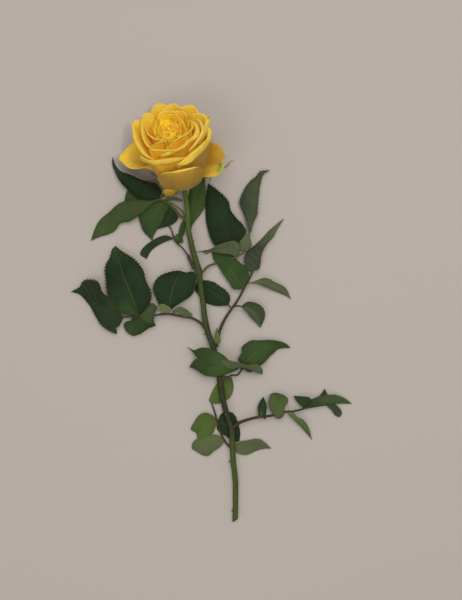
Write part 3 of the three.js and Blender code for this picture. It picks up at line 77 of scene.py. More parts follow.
LEAFLETS = [
["leaf_upper_left","a",[[160,199.4,9.8],[152,194,11.5],[135,187,13.5],[120,177.6,11],[112.6,157,3.5]],[[161.2,190.3],[156.7,184],[150,182.5],[139.5,178.8],[130.6,174.6],[120,170.5],[115,164]],[[149,199.3],[137,197],[127.6,189.6],[120,181.4],[114.9,171.7],[112.3,164]],[-2,-4,1.5]],
["leaf_upper_left","b",[[156.2,200.4,9.5],[153.7,201.2,9.4],[135.8,208.3,9.6],[117,216.5,7.5],[104.4,224.7,4.5],[91,240.7,1.2]],[[147,200.2],[135,200],[124.6,201.2],[117,205],[109.6,212],[99.2,221],[93.2,233.6]],[[149,207],[139,215.7],[129.8,221.3],[120.5,223.2],[115.6,229.9],[110.4,233.3],[99.9,236.6]],[-2.5,-2.5,1.5]],
["leaf_upper_left","c",[[154,201.1,9.4],[154,200.6,8.4],[144,197,5.6],[135,196.4,4.4],[125.2,196,2.4]],[[151,192],[142,189.5],[134,189.2],[128,190]],[[151,206],[142,205.6],[134,204.5],[125.3,200.8]],[-1,-1,0.5]],
["leaf_upper_left","d",[[163.3,200.8,9.7],[163,201.6,8.6],[156,212,6.8],[151.4,226,5.6],[152.6,240.4,3.6]],[[150,203],[141,210],[139,216.5],[140.3,223],[143.3,230.7],[148.5,236.6]],[[169.4,205.3],[164.2,217.2],[161.2,223.2],[156.7,230],[153.3,236]],[-1.5,-2,1]],
["leaf_upper_left","e",[[171.6,206.7,9.3],[171.6,206.8,8.2],[169.6,216,5.6],[158,229,3.8]],[[178,217.5],[174.6,223],[168,226]],[[165,212],[161,219],[158,225]],[-1.5,-1,0.5]],
["leaf_upper_left","arc",[[163.7,201,9.7],[169,197.8,11],[174.6,198.2,11.6],[179,199.2,11.2],[183.4,201.4,10.2]],[[166,198.2],[174.6,196.9],[181,199]],[[166,201],[174.6,199.6],[180,201]],[-2,-2,0.2]],
["leaf_small_left","h",[[174.6,238.3,4.5],[173,239,4.2],[164,239,3],[153,244.5,2.6],[146,250,2.2],[146.6,259,1.2]],[[164.9,235.5],[152.2,240.7],[142.5,248.6],[140.3,254]],[[163.4,242.6],[154.5,247.8],[150,252.3]],[-1,-1.4,1.2]],
["leaf_small_left","lobe",[[174.2,237.4,4.4],[178,239,4],[183.4,242.6,3]],[[177,234],[181.6,236.5]],[[175,241.6],[180,243.2]],[-0.6,-0.6,0.4]],
["leaf_small_left","g",[[178.4,244.2,5.4],[180.6,236,5.2],[182.2,228,5],[183.6,219.4,4.4]],[[178.6,234],[180.2,226],[182.6,221]],[[183.4,235],[185,227],[184.6,222]],[-0.6,-0.6,0.4]],
["leaf_left","i",[[138.9,316,6.4],[134.4,303.4,9],[130.3,292.6,11],[125.8,281.8,12],[121.8,271,11.4],[115.5,245.8,5.5]],[[125.8,314.7],[116.8,309.7],[108.7,297],[106.9,289],[105.6,277],[104.9,271],[106.5,263.8],[110,257.5],[112.3,249.4]],[[145.6,310.2],[150,303.4],[151.5,296],[150,289],[146,281],[143.4,271],[139.3,264.7],[133,258.4],[120.4,250.3]],[-3,-3,2.2]],
["leaf_left","j",[[123.6,317.1,5.6],[120.2,317.4,6.4],[108,308,9.2],[95,300,8.2],[83,294,5.2],[71,291.7,1.6]],[[117.4,309],[115,301.6],[108.7,297],[102.9,292.6],[100.6,286.3],[97.9,281.4],[87,279.7],[83,281.8],[79.9,287]],[[122,321],[119.6,325.4],[116.2,328.2],[117,333.6],[110.5,331.6],[101.5,325],[95.2,315],[91.6,308],[86.2,300.7],[79.9,294.4]],[1.4,-3.4,1.2]],
["leaf_left","k",[[138.2,316.1,6.4],[139,316,6.4],[144,319,9.6],[149.6,322,9.4],[155.8,325.4,5.5]],[[133.6,316],[131,320.4],[125,322],[123.7,326],[127,332],[133,335.6],[140,334],[147.4,329]],[[143,311.4],[147.4,306],[151.4,303.2],[154.6,304],[156.8,308],[154.2,314],[153.8,321]],[-5,-4.5,1.6]],
["leaf_left","l",[[167.9,313.8,8],[168.6,309,8.4],[171.7,292.6,11.5],[174.4,284.5,12],[178.4,276.6,10],[186,272.6,6.5]],[[159,304],[154.2,293.5],[153,288],[155,281.5],[160,276],[170,272],[179,270.8]],[[174.4,307],[183.4,301.2],[190.6,296.2],[194.2,290.8],[195.6,282],[195.4,275],[192,271.6]],[-4,-5,2]],
["leaf_left","m1",[[168.5,313.9,8],[168.6,313,8.4],[165.4,309.6,9.6],[158,305.6,9]],[[171.6,309.6],[167,305.6],[162,303.8]],[[166.4,313.4],[162,311.4],[158.4,308.4]],[0.8,-0.4,0.2]],
["leaf_left","m2",[[172.9,314.6,8],[173.5,310.2,8.6],[181,310.6,10],[192.9,314.7,9.6]],[[176.6,307.6],[182.4,307.2],[188.4,311]],[[177.6,312.4],[183,316.4],[188,317.6]],[-0.8,-0.8,0.4]],
["leaf_behind_bloom","f",[[190.3,228.6,5.4],[190.8,229,4.4],[192,213.4,3.6],[196.6,195.8,3.2],[200.6,182,2.4],[202.6,170,1.2]],[[188.2,219],[187.8,204],[190,190],[196,178]],[[195.3,221],[199.7,215.6],[204.6,207],[205.6,191],[204.6,178]],[-1.2,-1.2,0.8]],
["leaf_upper_right","n",[[233.3,241.8,6.5],[226,230,7.2],[221.2,217.8,7],[216.2,205,5.6],[208,183.2,2]],[[222,246.4],[215,245.3],[210.7,238.7],[208,230],[206,220],[205.6,210],[205.6,200],[206.9,191.4]],[[238.8,241.6],[243.7,236.5],[246.5,232],[245.4,228.8],[241.5,223.3],[236,217.8],[230.5,210],[228.9,202.4],[225,197],[219.5,192],[214,187.6]],[-2.5,-2.5,1.6]],
["leaf_upper_right","o",[[249.2,233,8.4],[250.6,212,10],[252.6,194,9],[258.6,178,6.4],[270,170,2.6]],[[247,224.4],[244.8,216.7],[239.5,203.5],[240.4,199],[244.8,189],[249.2,182.6],[255.8,177],[259.7,172]],[[250.9,232],[253.6,222],[256.9,215.6],[257.5,205.7],[258.6,194.7],[260.8,180.4],[263.5,173.8]],[-3,-3,1.5]],
["leaf_upper_right","q",[[245.3,250,8.8],[246.6,250.4,9.4],[246,243,12.4],[248.8,233.2,12.6]],[[239.6,250.4],[239.2,242.6],[243.9,236.9]],[[251.6,247],[250.6,240]],[-1.6,-1,0.8]],
["leaf_upper_right","p",[[236,257,9.2],[226,250.4,12],[212,250.2,13],[196,252.3,12.6]],[[240,246.8],[235,241],[229.4,241.4],[222.8,243.2],[216.2,246.2],[210.7,249],[203,250.6]],[[230,254.4],[222,253.6],[212,252],[206.9,254.2],[202,251.9]],[3.5,-0.6,0.8]],
["leaf_right","r",[[243.8,289.2,8.6],[238.2,281.6,8.4],[232.2,272.3,8.2],[226.4,263.6,7.2],[211,249,3.4]],[[233.3,288.8],[229.4,282.7],[223.9,275],[218.4,266],[214,259.6]],[[248,283],[249,275],[248,270.6],[244.8,266],[240.4,263],[234,257],[224,250]],[-1,-0.6,0.8]],
["leaf_right","s",[[253.1,270.6,8.2],[256.9,259.6,8.8],[262.4,248.6,8],[269,239.8,6.4],[275.6,231,4.4],[283.9,218.4,1.4]],[[248,270.6],[244.5,263],[244.8,256.3],[247,251.4],[253.6,246.4],[260.2,240.4],[269,231],[275.6,225]],[[258.6,269.5],[260.2,265],[260.8,258.5],[262.4,252],[266.8,244.2],[273.4,236.5],[276.7,230]],[-2.8,-1.5,1.2]],
["leaf_right","t",[[246.9,283.4,8.5],[256,282.3,10],[264,282,10],[271,284.2,8.4],[280,289,5.4],[291,299.2,1.6]],[[254.7,281],[260.2,279],[264.6,278],[270,279.4],[274.5,282],[281,285],[285.5,288]],[[256.9,283.8],[263.5,286],[271,289.3],[280,293],[286.6,296]],[-3,-3,1]],
["leaf_right","u",[[240.8,306.4,9.2],[249,308,10.4],[256.6,314,9],[260.2,327.8,3]],[[247,302],[252.5,302],[258,303.8],[262.4,307],[264.8,312.4],[264.6,318]],[[242.6,308],[247,312.4],[251.4,318],[256.9,323.4]],[-2.4,-2.4,1.2]],
["leaf_right","v",[[228.6,305.2,7],[224,300.3,4.6],[216.2,294.6,2.6],[208.5,289.6,1.4],[195,291,0.7]],[[230.2,300],[229.4,294.8],[226,290.4],[219.5,286],[214,282.2],[203.4,280.5],[196.4,284]],[[219.5,306],[212.9,305.3],[205.8,302.5],[199.7,296]],[-0.5,-0.5,0.6]],
["leaf_right","bud",[[216.6,345.7,7.5],[217.4,345,9],[217.6,338,10.4],[216.8,327.4,9.8]],[[214.8,342],[215,336],[215.8,331]],[[220.4,342],[219.8,336],[218.2,331]],[-1.2,-1.2,0.5]],
["leaf_lower_middle","w1",[[229,361,13.4],[218,356,14],[206,353,13.4],[196,351,11.6],[187,347,9]],[[225.8,357],[218.4,352],[210.4,349],[205.6,347.6],[200,348.2],[193,350.4]],[[222,362],[212,361],[203,360],[197,357],[192,351.4]],[-2,0.2,0.8]],
["leaf_lower_middle","w2",[[240,367.5,12],[228,368,14.2],[216,367.6,15],[202,367,13.4],[189.4,367.1,9.5]],[[234,362],[224,359],[210,358.4],[198,358.4],[193.6,361]],[[236,370.6],[228,373.6],[220,376.2],[209.6,376.2],[204,374.8],[196,369.6]],[-1,-2.4,1.2]],
["leaf_lower_middle","x",[[242.8,368.2,10.4],[246.4,362,10.8],[250.4,357.2,10.8],[257,351,10],[270,346,7.6],[290.8,347.8,2.4]],[[241,364],[237.8,360],[240,355.6],[242,352.4],[241.4,348.4],[244,344.8],[252,340.4],[258,340.4],[268,340],[276,340.6],[284.8,343.2]],[[249,372.4],[256,369.6],[260,366],[264.8,362],[270,356],[273.6,353.2],[277.6,349.2],[285.6,347.8]],[-2.4,-3,1.6]],
["leaf_lower_middle","y",[[221,359.6,16],[232,364,16.4],[245,366.6,15.6],[256,368,13.6],[262.4,374.6,10]],[[228,360.2],[240.8,363.2],[248,365],[256,364],[261.4,367.4],[263,371]],[[225.6,366.6],[231.2,369],[241.6,367.8],[252,370.6],[257,372.6]],[-0.6,-0.8,0.4]],
["leaf_low_left","z",[[211.8,403.2,2.8],[220,394,2.2],[227,386,1.6],[231.4,377.6,0.9]],[[209.2,401],[211.2,394],[215.2,386],[219,382],[226,378.4]],[[219,403.6],[226.4,400],[229.6,398],[232.8,391.6],[233.4,386.8],[232.6,381]],[-0.4,-0.4,0.4]],
["leaf_low_left","aa",[[217.1,420.4,2.8],[211,421.4,4],[204,424.6,4],[196.4,433,2]],[[214.4,417.2],[208.8,413.4],[204.6,412.8],[199.2,415.2],[194.4,421.8],[191,429]],[[215.8,426],[213,432.6],[206,438.2],[198,438.4]],[-1,-1,1]],
["leaf_low_left","ab",[[225.1,441.1,4],[223.8,442.2,3.6],[214,444,4],[204,446.6,3.4],[192,448.8,1.4]],[[222,437.6],[217,435],[213,434.6],[204,437],[195.6,439.8],[192,444.6]],[[219.6,447.4],[213.6,451.2],[209.4,455.2],[204,455.6],[198,452.4]],[-1,-1,0.8]],
["leaf_low_left","ac",[[217.5,422,2.8],[218.8,421.6,2.6],[226,424.6,1.6],[233,431.6,1.2],[239.4,441,0.7]],[[220.2,414.8],[223.2,412.4],[230.4,411.8],[234.6,414.8],[238.8,425.4],[240.2,433]],[[216.6,427.6],[220,433],[224.4,435],[229.2,438.6],[236.4,441.6]],[-0.3,-0.3,0.3]],
["leaf_low_left","ad",[[232.6,445.2,2.2],[244,446.4,2],[257,446,2],[271.2,448.4,0.8]],[[240,441.6],[247.2,440.4],[254.4,439],[259.8,439.2],[264.4,442.2]],[[236,452],[245.4,454.8],[256.8,450.6],[263,448.8]],[-0.4,-0.6,0.5]],
["side_shoot","af",[[260.2,411.8,9.5],[264.4,410,9.8],[264,404,9],[263.6,397,5.8]],[[259.4,416.4],[257.6,408],[260.6,400.4]],[[265,419.6],[266.2,413],[266.4,405]],[-1.4,-1,0.4]],
["side_shoot","ag",[[273.3,415.1,8],[276,409,10.4],[278.6,402,10],[279,393.4,5]],[[269.8,408],[268.6,403.8],[269.4,397.8],[270.6,394.2],[276,392.8]],[[277,418.4],[280.2,418.6],[282.6,417],[285,412.2],[284.4,407.4],[287.4,403.2],[288,399],[284.4,395.4]],[-2,-2,1.4]],
["side_shoot","ah",[[287.1,411.6,7.4],[294,415,8.4],[302,422.6,7.4],[308,431,4.6],[312,439.8,1.6]],[[292.8,412.4],[297,416.6],[302.4,419.2],[305,421.8],[308.6,428]],[[289.2,414.8],[295.2,420.8],[301.2,426.8],[307.2,433.8]],[-2,-2,0.8]],
["side_shoot","ai",[[304.7,408.4,5.8],[302.4,404,7.8],[299,400,8],[293.6,395.8,6]],[[312,401],[309,397.4],[302,396.4]],[[303,407.4],[298.8,403.4],[295.4,399.4]],[-1.2,-1.2,0.6]],
["side_shoot","aj",[[305.7,408.1,5.6],[318,401.6,6.6],[332,399.6,5.4],[351.8,403.6,1.2]],[[308.6,401],[314.4,398.2],[322.8,395.4],[328.8,394.8],[334.8,394.8],[340.8,396.6],[346.8,399.8]],[[311,407.4],[324,405],[334,404],[341,403.4],[347,403.6]],[-1.6,-1.6,0.8]],
["side_shoot","ajs",[[320.2,401.6,6.2],[322,400.6,4.6],[323.4,395,3.4],[324.5,388.8,2]],[[319,397.4],[322.4,392.4]],[[327.6,396.4],[326.4,392.4]],[-0.4,-0.4,0.2]],
["side_shoot","ak",[[325.7,404.7,4.4],[332,407.4,3.8],[337,411.6,2.8],[339.8,417.2,1.4]],[[331,404.4],[335,404.4],[340.2,409.2],[341.8,413.4]],[[328,406.8],[331.4,410],[335.4,415.4]],[-0.6,-0.6,0.4]]
]
PETALS = [
["petal_guard_left",0.5,1.0,[[152,159.5,40],[147.5,165.6,31],[131.5,167.8,24],[122.4,161.8,26],[119.3,157.7,28],[125.2,149.3,33],[134,140.5,40]],[],2.2],
["petal_guard_right",0.6,0.98,[[214,163.4,27],[221.7,162,28],[224.8,155.9,30],[223,152.3,32],[220.8,146.5,35],[216.3,143.8,37],[210,141.5,40]],[],1.2],
["petal_guard_low_right",0.0,0.9,[[204,177,13],[212,176.4,14],[217.7,175,16],[223.5,168,20],[221.6,162.4,25],[217.7,159.5,27]],[],1.0],
["petal_cup_front",1.2,1.07,[[157,178.6,36],[160.4,174.8,42],[166,172.6,45.5],[172,172.4,47.5],[178,171.5,48.5],[185,169.9,49],[192,168.4,49],[198,167.3,47.5],[202,168.6,44.5],[203.4,172.6,39.5]],[],1.4],
["petal_roll_front_left",2.2,1.0,[[140.8,155.4,56],[143.4,157.6,56.6],[148,159.6,57],[155,160.2,57],[165,158.8,57],[175,157.6,58],[181,157.6,58],[185.4,157.2,58]],[[141.2,160.2,52.2],[144.4,162.2,52.8],[149.6,163.6,53.4],[155,166,52],[159.4,164.2,53.2],[167,164,53],[175,162.4,54.2],[184.6,159.4,56.4]],0],
["petal_roll_front_right",1.62,1.02,[[176.8,164.4,54.6],[182,160.8,57],[187,156.4,58],[191.4,152.6,59.5],[196,148.9,60],[201,144.3,60],[205.4,140.6,59],[208.6,139.4,57.6]],[[178.6,165.6,53.2],[185,165.1,52.8],[191,162.8,52.2],[197,157.4,52.8],[203,151.2,53.8],[207.2,146.4,53],[210,141.8,55]],0],
["petal_left_outer",1.5,1.06,[[153.6,160.8,48.5],[150,158.9,50.6],[146,156.6,53],[141,151.6,55.5],[136.4,144,58],[133.4,136,60],[132.2,129,61],[132.2,123.2,62],[135,120.4,63],[141.6,119.6,63]],[],2.4],
["petal_left_second",3.0,1.03,[[150.6,149.6,57],[146,145,58.5],[142.8,138.6,60],[141.4,130,62],[141.2,121,64],[142.8,115,65.4],[146,112.8,66],[151.4,112.7,66]],[],2.4],
["petal_back_left",1.4,1.06,[[149.6,116,62],[151.2,110.6,63.4],[154.6,105.2,64],[158.6,103.3,64],[162.8,103.8,64],[166.4,105.8,63.6],[171,108.6,62]],[],2.0],
["petal_back_middle",2.4,1.05,[[159.6,113,65],[163,108.6,66.4],[167,105.6,67],[170.6,103.9,67],[174,103.6,67],[177.2,105,67],[181.4,106.8,66.6],[186.4,108.8,65]],[],2.6],
["petal_back_right",1.6,1.06,[[178.6,109,64],[183.4,106.2,66],[187.5,105.3,66],[191.4,105.2,66],[194.8,107,65],[197.4,110.4,63.6],[199.2,114,62]],[],2.2],
["petal_right_top",2.1,1.04,[[193,113.2,63.6],[198.4,113,64],[203,113.3,63],[206.2,114.6,62],[208.4,117.8,61],[208,122.4,60],[206.4,128,58.4],[204.6,134,57],[202,140,56],[198.6,145,55.4]],[],5],
["petal_right_outer",1.3,1.05,[[205.6,119,59],[207.6,123.6,57.6],[209.4,128,56],[210.5,133,55],[209.9,138.2,54],[207.8,142.4,52.6]],[],4.4],
["petal_inner_right_b",3.3,1.02,[[198,118,65],[201.4,120.6,64.6],[203.4,125,63.6],[203.6,130,62.6],[201.8,135.4,61.4],[198,141,60.2],[194,146.4,59.2],[189.6,151.6,58]],[],3],
["petal_inner_right_a",4.4,1.02,[[190.6,120,66],[194.4,120.8,65.4],[197,123.6,64.6],[198.6,128,63.4],[198.4,132,62.4],[195.8,136.6,61.2],[192,139.9,60.2],[187.6,142.6,59.6]],[],4.6],
["petal_inner_front",3.2,1.03,[[148.6,149,60],[153,149.3,60],[160,149.5,60],[168,149.5,60],[175,149,60.2],[180.6,146,61],[185.6,142.4,62],[189,139.6,62.4]],[[149,150.6,58.2],[153,151.4,58.4],[160,151.8,58.2],[168,152,58],[175.8,152,57.8],[182,149.4,58.6],[187.2,145.6,59.8],[190,142.4,60.8]],0],
["petal_inner_fold",2.7,1.03,[[160,156,56.4],[164,153.4,57.4],[168.6,151.6,58],[173,150.4,58.6],[177.4,148.9,59],[182.8,145,60],[188.4,140.9,61]],[[160.6,156.6,55.4],[165,156.6,55],[170,155.6,54.8],[175,154,55.2],[179.8,151.6,56],[184.8,147.8,58],[190,142.8,59.6]],0],
["petal_inner_left",4.3,1.01,[[144.9,125,64],[145.3,130,63],[148.2,134.4,62],[152.4,137.6,61.4],[157,139.7,61.2],[161.4,141.3,60.6],[166,141.9,60.4]],[],1.5],
["petal_inner_low",4.2,1.01,[[150.2,145.8,59.6],[155.6,143.6,60.2],[160.4,142.2,60.8],[165,140.9,61.4],[170,138.6,62.2],[175,136.8,63],[181,135,64],[186,132.4,64.6]],[],1.4],
["petal_inner_edge",3.7,1.01,[[165.6,149,59],[170,145.8,60.2],[174,142,61.2],[178,138.6,62.2],[182,136.4,63],[187,134.4,63.8],[190.6,130,64.6]],[],1.2],
["petal_inner_back",3.6,1.02,[[156.6,116.6,65.6],[159.4,113.4,66.6],[164,111.4,67.4],[169,110.8,68],[175,110.8,68],[181,110.8,67.6],[185.4,112.8,66.8],[188,117,65.6]],[],1.8],
["petal_inner_back_b",4.9,1.0,[[155.2,122,66.8],[157.4,118.4,67.8],[161.4,115.8,68.4],[166,114.6,69],[170.6,114.4,69],[174.6,116,69],[177,119,68.6]],[],1.4],
["petal_inner_right_c",5.0,1.0,[[171,111.8,68.6],[175,113.4,68.8],[178.6,116.6,68.6],[181.8,120.2,68.2],[184.8,124.2,67.4],[187,128.2,66.4],[187,131.4,65.6],[183.6,133.4,65.2]],[],1.4],
["petal_inner_right_d",4.7,1.0,[[190,119,66.8],[192.6,122.6,66],[193,127,65],[190.6,131,64.2],[186.6,134.2,63.4],[181.6,136.6,63]],[],1.8],
["petal_inner_left_b",5.2,1.0,[[158.4,117.6,68.4],[155.4,121.4,67.8],[153.8,126,67],[153.6,131,66],[155.4,135.6,65.2],[159.4,138.4,64.6],[164,139.2,64.4]],[],1.2],
["petal_heart_a",6.0,1.0,[[176,117,68.8],[179.4,119.8,68.2],[180.7,124,67.6],[181.2,129,66.8],[180.6,133,66.2],[177.6,135.6,65.8]],[],1.0],
["petal_heart_b",6.2,1.0,[[158.4,129,68],[158.9,124.4,69],[161.6,121.2,69.6],[165.4,119.8,70],[169.6,120,70],[173,121.8,69.6]],[],0.9],
["petal_heart_c",6.55,1.0,[[157.2,126.6,68.2],[158,130.4,67.6],[160.4,134,67],[164.4,136.3,66.6],[169,136.6,66.6],[173.6,134.9,67]],[],0.9],
["petal_heart_d",6.8,1.0,[[175.6,120.2,69.4],[177.2,124.4,68.8],[176.8,129,68.2],[174.4,132.8,67.8],[170.2,134.2,67.6]],[],0.8],
["petal_heart_e",7.3,1.0,[[162.4,131.6,68.6],[161.9,127.6,69.2],[163.8,124.2,69.8],[167.4,122.6,70.2],[171.2,123.4,70]],[],0.7],
["petal_heart_f",7.7,1.0,[[172.8,124.8,69.8],[173.4,128.2,69.4],[171.4,131,69],[168,131.8,68.8],[165,130.6,69]],[],0.7],
["petal_guard_back",0.2,0.9,[[197,148,22],[190,141,23],[178,137.5,24],[166,138.5,24],[155,143.5,22.5],[149,149,21]],[],1.0],
["petal_guard_fallen",0.0,0.0,[[162.2,192.4,5.2],[165,195.1,4.4],[168.8,196.4,4],[173.2,195,4.4],[178.2,190.8,5.4]],[],0]
]
SEPALS = [
["sepal_left_a",[[178,176,16],[168,179.4,15],[158.9,179.2,11],[151,180.4,7],[144.7,180.8,3.5]],3.2],
["sepal_left_b",[[177,173,18],[168,174.4,12],[160,174.4,7.5],[154.5,175.2,4.2],[149.6,173,1.8]],3.0],
["sepal_right_a",[[184,178,16],[194,177.4,16],[203,177.2,13],[209.6,176.6,10.5],[210,183,8.4]],3.6],
["sepal_right_b",[[185,174,17],[200,171.6,16],[214,171,14],[223,168.6,12.6],[227.6,165.6,12],[230,162,10.6],[233.4,160.4,9.6]],4.0],
["sepal_back",[[181,176,9],[179,183,4.6],[172,190,2.6],[166.4,193.6,1.6],[160.4,198.4,0.9]],4.2]
]

# leaflet looks: how light the blade is (0 dark, 1 light olive) and whether its
# underside faces up
# painted shade: a is set to the darkest tone for the shade it lies in
LOOK = {
    "a": (0.0, 0), "b": (0.38, 0), "c": (0.42, 0), "d": (0.35, 0), "e": (0.04, 0),
    "arc": (0.55, 0), "h": (0.06, 0), "lobe": (0.40, 0), "g": (0.35, 0), "i": (0.14, 0),
    "j": (0.02, 0), "k": (0.26, 0), "l": (0.08, 0), "m1": (0.42, 1), "m2": (0.28, 1),
    "f": (0.48, 0), "n": (0.02, 0), "o": (0.02, 1), "q": (0.28, 1), "p": (0.20, 1),
    "r": (0.30, 0), "s": (0.08, 1), "t": (0.30, 1), "u": (0.12, 0), "v": (0.08, 0),
    "bud": (0.62, 0), "w1": (0.36, 0), "w2": (0.36, 0), "x": (0.30, 0), "y": (0.12, 1),
    "z": (0.62, 0), "aa": (0.58, 0), "ab": (0.24, 1), "ac": (0.12, 0), "ad": (0.28, 1),
    "af": (0.12, 0), "ag": (0.50, 0), "ah": (0.50, 0), "ai": (0.16, 0), "aj": (0.32, 0),
    "ajs": (0.20, 0), "ak": (0.0, 1),
}

# ---- geometry helpers -----------------------------------------------------
FLOOR_CLEAR = 0.45


def clamp_floor(p):
    z = p[..., 2]
    low = FLOOR_CLEAR + 2.0 * np.exp((z - FLOOR_CLEAR - 2.0) / 2.0)
    p[..., 2] = np.where(z < FLOOR_CLEAR + 2.0, low, z)
    return p


def place(q):
    """Places on the drawing, (..., 3), in millimetres."""
    q = np.asarray(q, float)
    s = (VIEW_HEIGHT - q[..., 2]) / 1000.0
    return np.stack([(q[..., 0] - DRAWING[0]) * s + CENTRE[0],
                     -(q[..., 1] - DRAWING[1]) * s + CENTRE[1], q[..., 2]], axis=-1)


def unit(v):
    v = np.asarray(v, float)
    return v / np.maximum(np.linalg.norm(v, axis=-1, keepdims=True), 1e-9)


AX = unit(BLOOM_AXIS)
E1 = unit(np.array([1.0, 0, 0]) - AX[0] * AX)
E2 = np.cross(AX, E1)


def in_bloom(c):
    c = np.asarray(c, float)
    return BLOOM_AT + c[..., 0:1] * E1 + c[..., 1:2] * E2 + c[..., 2:3] * AX


def sight(q):
    """Bloom coordinates of drawing places whose third number is the height
    along the bloom's axis."""
    out = []
    eye = np.array([CENTRE[0], CENTRE[1], VIEW_HEIGHT])
    for px, py, h in q:
        d = np.array([(px - DRAWING[0]) / 1000, -(py - DRAWING[1]) / 1000, -1.0])
        s = (h - (eye - BLOOM_AT) @ AX) / (d @ AX)
        p = eye + s * d - BLOOM_AT
        out.append([p @ E1, p @ E2, h])
    return np.array(out)


def resample(points, ts):
    """Places at fractions ts of the length of a centripetal curve."""
    P = np.array([list(p) + [0.0] * (3 - len(p)) for p in points], float)
    keep = [0] + [i for i in range(1, len(P)) if np.linalg.norm(P[i] - P[i - 1]) > 1e-6]
    P = P[keep]
    first, last = 2 * P[0] - P[1], 2 * P[-1] - P[-2]
    Q = np.vstack([first, P, last])
    fine = []
    for i in range(1, len(Q) - 2):
        p0, p1, p2, p3 = Q[i - 1], Q[i], Q[i + 1], Q[i + 2]
        d0 = max(np.linalg.norm(p1 - p0), 1e-6) ** 0.5
        d1 = max(np.linalg.norm(p2 - p1), 1e-6) ** 0.5
        d2 = max(np.linalg.norm(p3 - p2), 1e-6) ** 0.5
        m1 = ((p1 - p0) / d0 - (p2 - p0) / (d0 + d1) + (p2 - p1) / d1) * d1
        m2 = ((p2 - p1) / d1 - (p3 - p1) / (d1 + d2) + (p3 - p2) / d2) * d1
        u = np.linspace(0, 1, 17)[:-1, None]
        fine.append((2 * u**3 - 3 * u**2 + 1) * p1 + (u**3 - 2 * u**2 + u) * m1
                    + (-2 * u**3 + 3 * u**2) * p2 + (u**3 - u**2) * m2)
    fine = np.vstack(fine + [P[-1:]])
    run = np.concatenate([[0], np.cumsum(np.linalg.norm(np.diff(fine, axis=0), axis=1))])
    run /= run[-1]
    return np.stack([np.interp(ts, run, fine[:, k]) for k in range(3)], axis=-1)


def wobble(seed, n=6):
    """A smooth function of two variables, from -1 to 1, fixed by its seed."""
    rng = np.random.default_rng(seed)
    fx, fy = rng.uniform(0.6, 3.2, n), rng.uniform(0.6, 3.2, n)
    ph, am = rng.uniform(0, 6.28, n), rng.uniform(0.4, 1.0, n)
    am = am / am.sum()

    def f(x, y):
        return sum(a * np.sin(6.283 * (x * u * 0.5 + y * v * 0.5) + p)
                   for a, u, v, p in zip(am, fx, fy, ph))
    return f


